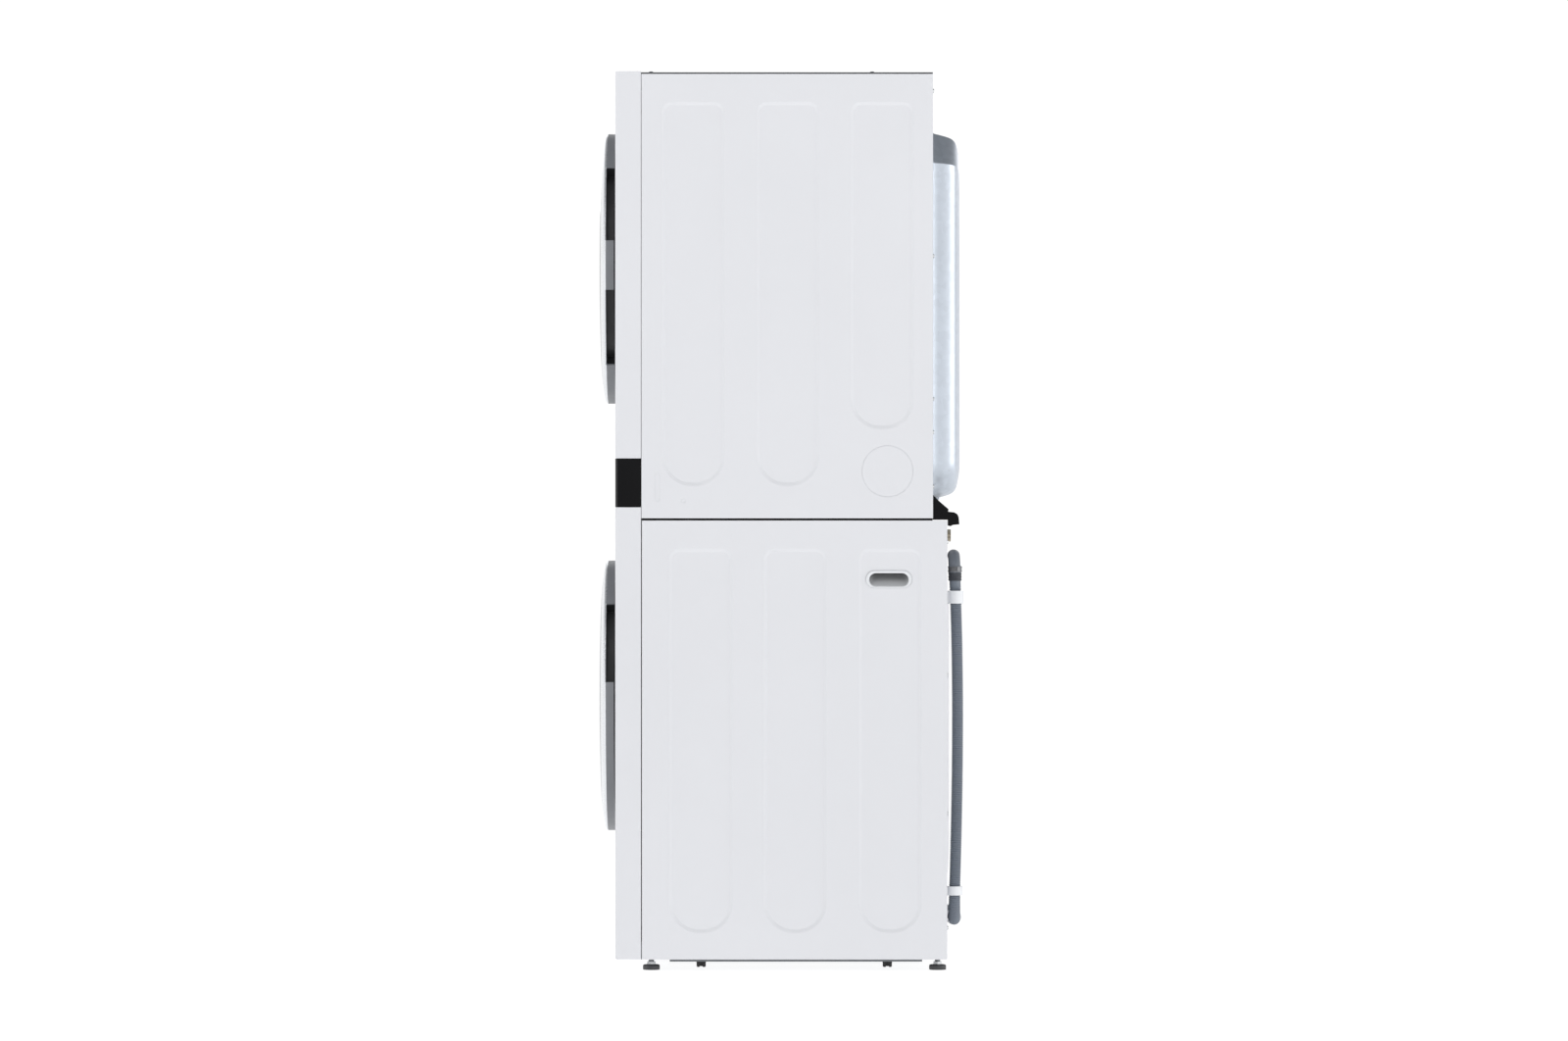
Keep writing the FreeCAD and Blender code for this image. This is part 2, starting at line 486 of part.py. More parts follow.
dc, dr = [], []
for sx in (-1, 1):
    for y in (-100.0, 110.0):
        x = sx * 190.0
        c = cyl_z(x, y, 15.0, 26.0, 236.0).cut(cyl_z(x, y, 12.5, 34.0, 228.0)).cut(cyl_z(x, y, 6.0 + RUN_CLR, 200.0, 240.0))
        dc.append(c)
        dr.append(fuse([cyl_z(x, y, 6.0, 110.0, 317.98), cyl_z(x, y, 12.4, 110.0, 150.0)]))
save("damper_cylinders", dc)
save("damper_rods", dr)

springs = []
for sx in (-1, 1):
    helix = Part.makeHelix(16.0, 168.0, 11.0)
    helix.translate(V(sx * 300.0, -20.0, 708.0))
    prof = Part.Wire([Part.Circle(V(sx * 300.0 + 11.0, -20.0, 708.0), V(0, 1, 0), 2.0).toShape()])
    coil = Part.Wire(helix.Edges).makePipeShell([prof], True, True)
    springs.append(coil)
save("suspension_springs", springs)

# ---------------------------------------------------------------- washer back, valves, drain hose
back = box(-341.5, 341.5, Y_WREAR - T, Y_WREAR, Z_CAB + 36, Z_WTOP - T - 0.1)
def lift_panel(x0, x1, z0, z1, y0, y1, inset, r):
    def wire(y, g):
        w = rr_wire(0, x0 + g, x1 - g, z0 + g, z1 - g, r - g * 0.4, r - g * 0.4)
        # the helper draws in the YZ plane: turn it into the XZ plane at this depth
        w.rotate(V(0, 0, 0), V(0, 0, 1), -90)
        w.translate(V(0, y, 0))
        return w
    return Part.makeLoft([wire(y0, 0.0), wire(y1, inset)], True, True)
outer = lift_panel(-235.0, 235.0, 190.0, 800.0, Y_WREAR - 0.1, Y_WREAR + 6.0, 14.0, 60.0)
inner = lift_panel(-233.8, 233.8, 191.2, 798.8, Y_WREAR - T - 0.1, Y_WREAR + 6.0 - T, 14.0, 60.0)
back = fuse([back, outer]).cut(inner)
VALVES = [(170.0, 913.0), (110.0, 913.0)]
for x, z in VALVES:
    back = back.cut(cyl_y(x, z, 22.0, 340.0, 360.0))
back = back.cut(cyl_y(-44.0, 109.3, 17.0, 340.0, 360.0)).cut(cyl_y(-22.0, 109.3, 17.0, 340.0, 360.0)).cut(box(-44.0, -22.0, 340.0, 360.0, 92.3, 126.3))
save("washer_back_panel", back)
valves = []
for x, z in VALVES:
    v = fuse([cyl_y(x, z, 13.0, 348.0, 361.0), cyl_y(x, z, 25.0, 345.5, Y_WREAR - T), cyl_y(x, z, 14.0, 328.0, 346.0),
              box(x - 16, x + 16, 290.0, 330.0, z - 16, z + 16), cyl_z(x, 306.0, 8.0, z - 34, z - 10)])
    v = v.cut(cyl_y(x, z, 9.5, 334.0, 362.0))
    valves.append(v)
save("inlet_valves", valves)

hose = route_tube(HOSE_ROUTE, HOSE_R, "drain hose")
save("drain_hose", hose)
def unit(a, b):
    d = V(*b) - V(*a)
    d.normalize()
    return d


# outlet cuff: comes through the back panel and turns to the right; end cuff: turns inboard over the top
k0 = V(*HOSE_ROUTE[0]) - unit(HOSE_ROUTE[0], HOSE_ROUTE[1]) * 34.0
cuff_a = route_tube([(k0.x, 337.0, k0.z), tuple(k0), HOSE_ROUTE[0]], 13.2, "outlet cuff", {1: 18.0})
k1 = V(*HOSE_ROUTE[-1]) + unit(HOSE_ROUTE[-2], HOSE_ROUTE[-1]) * 49.0
cuff_b = route_tube([HOSE_ROUTE[-1], tuple(k1), (k1.x - 77.0, k1.y, k1.z)], 12.7, "end cuff", {1: 34.0})
band = Part.makeCylinder(14.0, 14.0, V(299.35, 367.0, 835.0), V(0, 0, 1))
save("hose_cuffs", [cuff_a, fuse([cuff_b, band])])

clips = []
def clip_z(x, yc, z0, z1):
    bore = Part.makeCylinder(13.5, z1 - z0 + 2, V(x, yc, z0 - 1))
    c = fuse([Part.makeCylinder(16.8, z1 - z0, V(x, yc, z0)), box(x - 9, x + 9, Y_WREAR, yc - 8.0, z0 + 2, z1 - 2)]).cut(bore)
    return c.cut(box(x - 30, x + 30, Y_WREAR - 20, Y_WREAR, z0 - 5, z1 + 5))
clips.append(clip_z(300.0, 366.8, 157.0, 176.0))
clips.append(clip_z(299.8, 369.0, 770.0, 797.0))
c = cyl_x(367.5, 104.0, 16.5, 118.0, 136.0).cut(cyl_x(367.5, 104.0, 13.1, 117.0, 137.0))
s = box(120.0, 134.0, Y_WREAR, 355.5, 96.0, 112.0).cut(cyl_x(367.5, 104.0, 13.1, 117.0, 137.0))
clips.append(fuse([c, s]))
save("hose_clips", clips)

# ---------------------------------------------------------------- dryer carcass
tray = box(-341.5, 341.5, Y_SEAM + 0.5, Y_DREAR - T - 0.1, Z_DBOT, Z_DBOT + 16).cut(
    box(-340.0, 340.0, Y_SEAM + 2, Y_DREAR - 2 * T - 0.1, Z_DBOT + 1.6, Z_DBOT + 20))
tray = tray.cut(box(-342, -324, Y_SEAM, Y_SEAM + 3, Z_DBOT + 2, Z_DBOT + 20)).cut(box(324, 342, Y_SEAM, Y_SEAM + 3, Z_DBOT + 2, Z_DBOT + 20))
spacer = box(-316.0, 316.0, -289.0, 320.0, Z_WTOP, Z_DBOT + 0.5)
save("dryer_base_tray", fuse([tray, spacer]))

ring = tube_y(0, ZD, 315.2, 314.0, 283.0, Y_DREAR - T + 0.2)
disc = cyl_y(0, ZD, 315.0, 283.0, 284.2)
dbp = box(-341.5, 341.5, Y_DREAR - T, Y_DREAR, Z_DBOT + 36, Z_DTOP - T - 0.1).cut(cyl_y(0, ZD, 314.0, 310.0, 330.0))
dbp = fuse([dbp, ring, disc] + [cyl_y(sx * ROLLER_X, ROLLER_Z, 5.0, 238.0, Y_DREAR - T + 0.2) for sx in (-1, 1)])
for i in range(9):
    x = -120 + 30 * i
    dbp = dbp.cut(box(x - 5, x + 5, 280.0, 286.0, 1560.0, 1690.0 - abs(x) * 0.4))
dbp = dbp.cut(cyl_y(EXH_X, EXH_Z, EXH_R + 1.5, 310.0, 330.0))
dbp = dbp.cut(cyl_y(-265.0, 1035.0, 13.0, 310.0, 330.0))
save("dryer_back_panel", dbp)

COVER = [(290, 1040), (290, 1698), (227, 1761), (-227, 1761), (-290, 1698), (-290, 1250), (-227, 1187), (10, 1187),
         (40, 1157), (40, 1035), (85, 990), (240, 990)]


def inset(poly, g):
    """Corner-true inward offset of a polygon given anticlockwise as seen from the front."""
    n = len(poly)
    area = sum(poly[i][0] * poly[(i + 1) % n][1] - poly[(i + 1) % n][0] * poly[i][1] for i in range(n))
    sg = 1.0 if area > 0 else -1.0
    out = []
    for i in range(n):
        (x0, z0), (x1, z1), (x2, z2) = poly[i - 1], poly[i], poly[(i + 1) % n]
        l1, l2 = math.hypot(x1 - x0, z1 - z0), math.hypot(x2 - x1, z2 - z1)
        n1 = (-(z1 - z0) / l1 * sg, (x1 - x0) / l1 * sg)
        n2 = (-(z2 - z1) / l2 * sg, (x2 - x1) / l2 * sg)
        k = g / (1.0 + n1[0] * n2[0] + n1[1] * n2[1])
        out.append((x1 + (n1[0] + n2[0]) * k, z1 + (n1[1] + n2[1]) * k))
    return out


def cover_solid(t, y0):
    wires = []
    for y, g in ((y0, 0.0), (356.0, 9.0), (371.0, 18.0), (379.0, 42.0)):
        pts = [V(x, y - (t if y > y0 else 0.0), z) for x, z in inset(COVER, g + t)]
        wires.append(Part.makePolygon(pts + [pts[0]]))
    return Part.makeLoft(wires, True, True)


cov = cover_solid(0.0, Y_DREAR)
cin = cover_solid(T, Y_DREAR - 1.0)
flange = prism_y([(296, 1044), (302, 1704), (232, 1774), (-232, 1774), (-302, 1704), (-302, 1245), (-232, 1175), (5, 1175),
                  (28, 1152), (28, 1030), (80, 979), (242, 979)], Y_DREAR, Y_DREAR + T)
cov = fuse([cov, flange])
cov = cov.cut(cin)
save("dryer_rear_cover", cov)

lid = box(-339.0, 339.0, -310.0, Y_DREAR - 0.1, Z_DTOP, Z_LID).cut(box(-337.8, 337.8, -308.8, Y_DREAR - T - 0.1, Z_DTOP - 1, Z_LID - T))
plate = box(-170.0, 170.0, -104.0, 93.0, Z_LID - 0.2, Z_ALL)
plate = round_edges(plate, 12.0, lambda e: e.BoundBox.ZLength > 3 and e.BoundBox.XLength < 0.1 and e.BoundBox.YLength < 0.1)
plate = round_edges(plate, 2.0, lambda e: e.BoundBox.ZMin > Z_ALL - 0.1)
save("dryer_top_plate", fuse([lid, plate]))

# ---------------------------------------------------------------- dryer front bulkhead with filter slot
fb = box(-338.0, 338.0, -262.0, -260.8, 1112.0, 1858.0).cut(cyl_y(0, ZD, 236.6, -270.0, -250.0))
fb = fuse([fb, tube_y(0, ZD, 237.8, 236.6, -291.0, -240.0), tube_y(0, ZD, 312.2, 311.0, -261.0, -232.0)]
          + [cyl_y(sx * ROLLER_X, ROLLER_Z, 5.0, -261.0, -198.0) for sx in (-1, 1)])
fb = fb.cut(box(-109.0, 109.0, -286.0, -268.0, 1220.0, 1300.0))
save("dryer_front_bulkhead", fb)

lf = box(-104.0, 104.0, -283.0, -271.0, 1090.0, 1236.0)
lf = lf.cut(box(-96.0, -3.0, -284.0, -270.0, 1100.0, 1216.0)).cut(box(3.0, 96.0, -284.0, -270.0, 1100.0, 1216.0))
mesh = box(-97.0, 97.0, -277.6, -276.4, 1099.0, 1217.0)
grip = box(-60.0, 60.0, -283.5, -270.5, 1234.0, 1250.0)
grip = grip.cut(box(-40.0, 40.0, -285.0, -275.0, 1237.0, 1247.0))
save("lint_filter", fuse([lf, mesh, grip]))

bh = box(-114.0, 190.0, -290.0, -263.0, 985.0, 1232.0).cut(box(-112.5, 188.5, -288.5, -264.5, 986.5, 1240.0))
bh = bh.cut(cyl_y(MOT_X, MOT_Z, 60.0, -268.0, -260.0))
scroll_o = fuse([cyl_y(MOT_X, MOT_Z, 88.0, -188.0, -128.0), box(EXH_X - 52, MOT_X, -188.0, -128.0, 965.0, 1101.0)])
scroll_i = fuse([cyl_y(MOT_X, MOT_Z, 86.0, -186.0, -130.0), box(EXH_X - 50, MOT_X, -186.0, -130.0, 967.0, 1099.0)])
scroll = scroll_o.cut(scroll_i)
scroll = scroll.cut(cyl_y(MOT_X, MOT_Z, 60.0, -190.0, -185.0)).cut(cyl_y(MOT_X, MOT_Z, 12.0, -132.0, -126.0)).cut(cyl_y(EXH_X, EXH_Z, EXH_R - 1.6, -132.0, -126.0))
neck = tube_y(MOT_X, MOT_Z, 62.0, 60.0, -263.4, -187.0)
save("blower_housing", fuse([bh, scroll, neck]))

duct = fuse([cyl_y(EXH_X, EXH_Z, EXH_R + 0.6, -127.98, 322.0), cyl_y(EXH_X, EXH_Z, EXH_R, 321.0, 350.0)])
save("exhaust_duct", duct.cut(cyl_y(EXH_X, EXH_Z, EXH_R - 0.8, -130.0, 352.0)))

motor = fuse([cyl_y(MOT_X, MOT_Z, 58.0, 26.0, 150.0), cyl_y(MOT_X, MOT_Z, 22.0, 18.0, 160.0), box(MOT_X - 45, MOT_X + 45, 40.0, 140.0, Z_DBOT + 1.6, 1010.0)])
motor = motor.cut(cyl_y(MOT_X, MOT_Z, 6.0 + RUN_CLR, 10.0, 60.0))
save("dryer_motor", motor)

wheel = [tube_y(MOT_X, MOT_Z, 72.0, 50.0, -180.0, -176.0), cyl_y(MOT_X, MOT_Z, 72.0, -141.0, -138.0), cyl_y(MOT_X, MOT_Z, 14.0, -160.0, -133.5),
         cyl_y(MOT_X, MOT_Z, 6.0, -160.0, 55.0), cyl_y(MOT_X, MOT_Z, PULLEY_R, -9.0, 9.0)]
for i in range(18):
    blade = box(50.5, 71.5, -178.0, -139.0, -0.8, 0.8)
    blade.rotate(V(61, 0, 0), V(0, 1, 0), 28)
    blade = blade.common(Part.makeCylinder(71.9, 60, V(0, -190, 0), V(0, 1, 0)))
    blade.rotate(V(0, 0, 0), V(0, 1, 0), 20.0 * i)
    blade.translate(V(MOT_X, 0, MOT_Z))
    wheel.append(blade)
save("blower_wheel", fuse(wheel))

# drum with rolled edges and three paddles
dd = [tube_y(0, ZD, R_DDRUM, R_DDRUM - T_DRUM, Y_DD0, Y_DD1)]
for a in (90, 210, 330):
    c, s = math.cos(math.radians(a)), math.sin(math.radians(a))
    prof = [(-42, 323.9), (-26, 290.0), (-10, 270.0), (10, 270.0), (26, 290.0), (42, 323.9)]
    pts = [V(-s * t + c * r, -215.0, ZD + c * t + s * r) for t, r in prof]
    dd.append(Part.Face(Part.makePolygon(pts + [pts[0]])).extrude(V(0, 470.0, 0)).common(cyl_y(0, ZD, 324.2, -230.0, 280.0)))
save("dryer_drum", fuse(dd))

for name, sx in (("drum_rollers_left", -1), ("drum_rollers_right", 1)):
    rs = []
    for y0 in (-222.0, 242.0):
        r = revolve([(5.05, y0), (30.0, y0), (ROLLER_R, y0 + 3), (ROLLER_R, y0 + 19), (30.0, y0 + 22), (5.05, y0 + 22)], ROLLER_Z, sx * ROLLER_X)
        rs.append(r)
    save(name, rs)

# flat belt round drum and motor pulley
def belt_face(R, r):
    cx, cz = MOT_X, MOT_Z - ZD
    d = math.hypot(cx, cz)
    base_a = math.atan2(cz, cx)
    off = math.acos((R - r) / d)
    pts = []
    a0, a1 = base_a + off, base_a - off + 2 * math.pi
    n = 96
    for i in range(n + 1):
        a = a0 + (a1 - a0) * i / n
        pts.append((R * math.cos(a), R * math.sin(a) + ZD))
    for i in range(17):
        a = base_a - off + 2 * off * i / 16
        pts.append((cx + r * math.cos(a), cz + r * math.sin(a) + ZD))
    return pts
belt = prism_y(belt_face(R_DDRUM + 3.2, PULLEY_R + 2.4), -6.0, 6.0).cut(prism_y(belt_face(R_DDRUM + 0.8, PULLEY_R + 0.6), -7.0, 7.0))
save("drum_belt", belt)

save("heater_box", box(120.0, 258.0, 322.0, 358.0, 1064.0, 1420.0).cut(box(122.0, 256.0, 324.0, 356.0, 1060.0, 1430.0)))

ctc = box(-300.0, -228.0, Y_DREAR, 346.0, 990.0, 1080.0)
ctc = round_edges(ctc, 3.5, lambda e: e.BoundBox.YMin > 345.9)
ctc = ctc.cut(box(-298.5, -229.5, Y_DREAR - 1, 344.5, 991.5, 1078.5))
ctc = fuse([ctc, cyl_y(-264.0, 1012.0, 14.0, 344.5, 352.0)]).cut(cyl_y(-264.0, 1012.0, 11.0, 340.0, 356.0))
save("cord_terminal_cover", ctc)

hook = prism_x([(Y_DREAR, 998.2), (335.1, 983.8), (353.3, 968.3), (352.4, 963.2), (365.4, 961.7), (372.0, 957.5), (374.5, 951.8), (375.9, 936.4),
                (362.3, 935.3), (357.8, 932.6), (352.0, 934.0), (352.0, 946.0), (Y_DREAR, 946.0)], 297.0, 339.0)
hook = hook.cut(prism_x([(324.0, 940.0), (324.0, 986.0), (336.0, 974.0), (349.0, 960.0), (349.0, 940.0)], 300.5, 335.5))
hook = hook.cut(prism_x([(355.0, 925.0), (355.0, 951.0), (362.0, 953.0), (368.0, 948.0), (369.0, 930.0)], 300.5, 335.5))
save("rear_hose_hook", hook)

screws = []
for sx in (-1, 1):
    for y in (-271.0, 193.0):
        screws.append(Part.makeCone(5.5, 3.6, 2.2, V(sx * 326.0, y, Z_LID)))
    for z in (1846.0, 1500.0, 1130.0, 1016.0):
        screws.append(Part.makeCone(5.0, 3.4, 2.6, V(sx * 331.0, Y_DREAR, z), V(0, 1, 0)))
    for z in (90.0, 330.0, 620.0, 900.0):
        screws.append(Part.makeCone(5.0, 3.4, 2.4, V(sx * 331.0, Y_WREAR, z), V(0, 1, 0)))
for x, z in ((297, 1500), (297, 1200), (0, 1768), (-297, 1500), (-120, 1180), (160, 985)):
    screws.append(Part.makeCone(4.5, 3.2, 2.4, V(x, Y_DREAR + T, z), V(0, 1, 0)))
save("cover_screws", screws)

print(len(NODES), "nodes")
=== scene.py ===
import bpy
import bmesh
import math
from mathutils import Matrix, Vector


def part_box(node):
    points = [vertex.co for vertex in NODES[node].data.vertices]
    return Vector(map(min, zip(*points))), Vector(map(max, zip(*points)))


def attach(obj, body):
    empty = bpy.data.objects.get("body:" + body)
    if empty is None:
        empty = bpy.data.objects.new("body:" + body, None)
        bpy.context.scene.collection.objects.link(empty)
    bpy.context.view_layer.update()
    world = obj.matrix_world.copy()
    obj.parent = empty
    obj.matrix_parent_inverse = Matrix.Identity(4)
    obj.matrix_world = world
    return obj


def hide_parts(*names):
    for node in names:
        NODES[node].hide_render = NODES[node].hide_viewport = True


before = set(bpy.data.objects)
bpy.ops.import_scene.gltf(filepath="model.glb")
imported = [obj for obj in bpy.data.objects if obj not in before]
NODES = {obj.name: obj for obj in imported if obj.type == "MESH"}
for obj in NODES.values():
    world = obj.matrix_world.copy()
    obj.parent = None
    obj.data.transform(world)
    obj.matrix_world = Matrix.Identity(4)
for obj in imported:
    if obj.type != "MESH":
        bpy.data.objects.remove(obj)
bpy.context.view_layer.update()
S = 0.001                      # the shapes below are laid out in millimetres
scene = bpy.context.scene


# ------------------------------------------------------------------ materials
def srgb(r, g, b):
    out = []
    for v in (r, g, b):
        v /= 255.0
        out.append(v / 12.92 if v <= 0.04045 else ((v + 0.055) / 1.055) ** 2.4)
    return (out[0], out[1], out[2], 1.0)


def shade(col, k):
    return (min(col[0] * k, 1.0), min(col[1] * k, 1.0), min(col[2] * k, 1.0), 1.0)


class Build:
    """A small helper that lays out one procedural node material."""

    def __init__(self, name):
        self.mat = bpy.data.materials.new(name)
        self.mat.use_nodes = True
        self.nt = self.mat.node_tree
        self.nt.nodes.clear()
        self.out = self.add("ShaderNodeOutputMaterial")
        self.bsdf = self.add("ShaderNodeBsdfPrincipled")
        self.link(self.bsdf.outputs[0], self.out.inputs["Surface"])
        self.co = self.add("ShaderNodeTexCoord").outputs["Object"]

    def add(self, kind, **props):
        n = self.nt.nodes.new(kind)
        for k, v in props.items():
            setattr(n, k, v)
        return n

    def link(self, a, b):
        self.nt.links.new(a, b)

    def mapped(self, scale=(1, 1, 1), rot=(0, 0, 0)):
        m = self.add("ShaderNodeMapping")
        m.inputs["Scale"].default_value = scale
        m.inputs["Rotation"].default_value = rot
        self.link(self.co, m.inputs["Vector"])
        return m.outputs[0]

    def noise(self, scale, detail=3.0, rough=0.55, vec=None, distortion=0.0):
        n = self.add("ShaderNodeTexNoise")
        n.inputs["Scale"].default_value = scale
        n.inputs["Detail"].default_value = detail
        n.inputs["Roughness"].default_value = rough
        n.inputs["Distortion"].default_value = distortion
        self.link(vec if vec is not None else self.co, n.inputs["Vector"])
        return n.outputs["Fac"]

    def voronoi(self, scale, feature="F1", out="Distance", vec=None, randomness=1.0):
        n = self.add("ShaderNodeTexVoronoi", feature=feature)
        n.inputs["Scale"].default_value = scale
        n.inputs["Randomness"].default_value = randomness
        self.link(vec if vec is not None else self.co, n.inputs["Vector"])
        return n.outputs[out]

    def ramp(self, fac, lo, hi, a=0.0, b=1.0):
        n = self.add("ShaderNodeMapRange")
        n.inputs["From Min"].default_value = lo
        n.inputs["From Max"].default_value = hi
        n.inputs["To Min"].default_value = a
        n.inputs["To Max"].default_value = b
        self.link(fac, n.inputs["Value"])
        return n.outputs["Result"]

    def math(self, op, a, b):
        n = self.add("ShaderNodeMath", operation=op)
        for i, v in enumerate((a, b)):
            if isinstance(v, (int, float)):
                n.inputs[i].default_value = v
            else:
                self.link(v, n.inputs[i])
        return n.outputs[0]

    def mix(self, fac, a, b):
        n = self.add("ShaderNodeMix", data_type="RGBA")
        if isinstance(fac, (int, float)):
            n.inputs["Factor"].default_value = fac
        else:
            self.link(fac, n.inputs["Factor"])
        for sock, v in ((n.inputs["A"], a), (n.inputs["B"], b)):
            pass
        ia, ib = [s for s in n.inputs if s.type == "RGBA"][:2]
        for sock, v in ((ia, a), (ib, b)):
            if isinstance(v, tuple):
                sock.default_value = v
            else:
                self.link(v, sock)
        return [s for s in n.outputs if s.type == "RGBA"][0]

    def edges(self, radius, gain=6.0):
        """Mask that is 1 on outside and inside edges, from how far the rounded normal leans off the true one."""
        bev = self.add("ShaderNodeBevel", samples=4)
        bev.inputs["Radius"].default_value = radius
        geo = self.add("ShaderNodeNewGeometry")
        dot = self.add("ShaderNodeVectorMath", operation="DOT_PRODUCT")
        self.link(bev.outputs[0], dot.inputs[0])
        self.link(geo.outputs["Normal"], dot.inputs[1])
        return self.ramp(dot.outputs["Value"], 1.0, 1.0 - 1.0 / gain)

    def bump(self, height, strength, distance, normal=None):
        n = self.add("ShaderNodeBump")
        n.inputs["Strength"].default_value = strength
        n.inputs["Distance"].default_value = distance
        self.link(height, n.inputs["Height"])
        if normal is not None:
            self.link(normal, n.inputs["Normal"])
        return n.outputs[0]

    def rounded(self, radius):
        bev = self.add("ShaderNodeBevel", samples=4)
        bev.inputs["Radius"].default_value = radius
        return bev.outputs[0]

    def set(self, **kw):
        for k, v in kw.items():
            sock = self.bsdf.inputs[k.replace("_", " ")]
            if isinstance(v, (int, float, tuple)):
                sock.default_value = v
            else:
                self.link(v, sock)


MATS = {}


def paint(name, col, rough=0.34, coat=0.25, peel=0.10, wear=0.06, round_mm=0.5):
    """Oven-cured enamel on pressed sheet: orange peel, faint cloudiness, softer rubbed edges."""
    b = Build(name)
    cloud = b.noise(2.2, 4.0, 0.6)
    fleck = b.noise(260.0, 2.0, 0.5)
    base = b.mix(b.ramp(cloud, 0.3, 0.7), shade(col, 0.985), shade(col, 1.012))
    base = b.mix(b.ramp(fleck, 0.35, 0.75, 0.0, 0.035), base, shade(col, 0.86))
    if wear:
        base = b.mix(b.math("MULTIPLY", b.edges(0.0015), wear), base, shade(col, 0.72))
    smear = b.noise(5.0, 5.0, 0.65, b.mapped((1.0, 1.0, 0.35)))
    peel_h = b.noise(420.0, 2.0, 0.4)
    b.set(Base_Color=base, Roughness=b.ramp(smear, 0.3, 0.7, rough - 0.035, rough + 0.045),
          Coat_Weight=coat, Coat_Roughness=0.12,
          Normal=b.bump(peel_h, peel, 0.00012, b.rounded(round_mm * S)))
    MATS[name] = b.mat


def plastic(name, col, rough=0.45, grain=900.0, depth=0.15, vary=0.04, round_mm=0.4, coat=0.0, wear=0.12, dust=0.0):
    """Moulded plastic: spark-eroded grain, flow clouds, scuffed edges."""
    b = Build(name)
    cloud = b.noise(7.0, 4.0, 0.6)
    grit = b.noise(grain, 3.0, 0.6)
    base = b.mix(b.ramp(cloud, 0.3, 0.7), shade(col, 1.0 - vary), shade(col, 1.0 + vary))
    base = b.mix(b.ramp(grit, 0.45, 0.75, 0.0, 0.22), base, shade(col, 0.72))
    if wear:
        light = tuple(min(1.0, c * 1.5 + 0.02) for c in col[:3]) + (1.0,)
        base = b.mix(b.math("MULTIPLY", b.edges(0.0008), wear), base, light)
    if dust:
        d = b.math("MULTIPLY", b.ramp(b.noise(28.0, 6.0, 0.7), 0.42, 0.72), dust)
        base = b.mix(d, base, srgb(168, 165, 158))
    b.set(Base_Color=base, Roughness=b.ramp(b.noise(16.0, 4.0, 0.6), 0.3, 0.7, rough - 0.06, rough + 0.08),
          Normal=b.bump(grit, depth, 0.00015, b.rounded(round_mm * S)), Coat_Weight=coat)
    MATS[name] = b.mat


def metal(name, col, rough=0.35, vary=0.06, brush=None, brush_strength=0.12, metallic=1.0, round_mm=0.3, stain=0.0, grain=350.0):
    """Bare or plated metal with rolling marks, dull patches and bright rubbed edges."""
    b = Build(name)
    cloud = b.noise(9.0, 5.0, 0.65)
    vec = b.mapped(brush) if brush else None
    lines = b.noise(grain, 4.0, 0.7, vec)
    base = b.mix(b.ramp(cloud, 0.3, 0.7), shade(col, 1.0 - vary), shade(col, 1.0 + vary))
    base = b.mix(b.ramp(lines, 0.4, 0.7, 0.0, 0.25), base, shade(col, 0.8))
    base = b.mix(b.math("MULTIPLY", b.edges(0.0008), 0.35), base, shade(col, 1.25))
    if stain:
        s = b.math("MULTIPLY", b.ramp(b.noise(22.0, 6.0, 0.7), 0.5, 0.75), stain)
        base = b.mix(s, base, shade(col, 0.45))
    b.set(Base_Color=base, Metallic=metallic,
          Roughness=b.ramp(lines, 0.3, 0.7, rough - 0.07, rough + 0.09),
          Normal=b.bump(lines, brush_strength, 0.00012, b.rounded(round_mm * S)))
    MATS[name] = b.mat


def galvanised(name, col, rough=0.36, metallic=0.75):
    """Hot-dip zinc: flat spangle grains a few millimetres across, each with its own tone."""
    b = Build(name)
    warp = b.add("ShaderNodeVectorMath", operation="MULTIPLY_ADD")
    jitter = b.add("ShaderNodeTexNoise")
    jitter.inputs["Scale"].default_value = 60.0
    b.link(b.co, jitter.inputs["Vector"])
    b.link(jitter.outputs["Color"], warp.inputs[0])
    warp.inputs[1].default_value = (0.006, 0.006, 0.006)
    b.link(b.co, warp.inputs[2])
    cell = b.voronoi(95.0, "F1", "Color", warp.outputs[0])
    sep = b.add("ShaderNodeSeparateColor")
    b.link(cell, sep.inputs[0])
    big = b.noise(3.0, 3.0, 0.5)
    base = b.mix(sep.outputs[0], shade(col, 0.95), shade(col, 1.05))
    base = b.mix(b.ramp(big, 0.35, 0.7, 0.0, 0.5), base, shade(col, 0.93))
    base = b.mix(b.math("MULTIPLY", b.edges(0.001), 0.3), base, shade(col, 1.12))
    fine = b.noise(520.0, 3.0, 0.6)
    b.set(Base_Color=base, Metallic=metallic,
          Roughness=b.math("ADD", b.ramp(sep.outputs[1], 0.0, 1.0, rough - 0.03, rough + 0.05), b.ramp(big, 0.3, 0.7, 0.0, 0.03)),
          Normal=b.bump(fine, 0.07, 0.0001, b.rounded(0.6 * S)))
    MATS[name] = b.mat


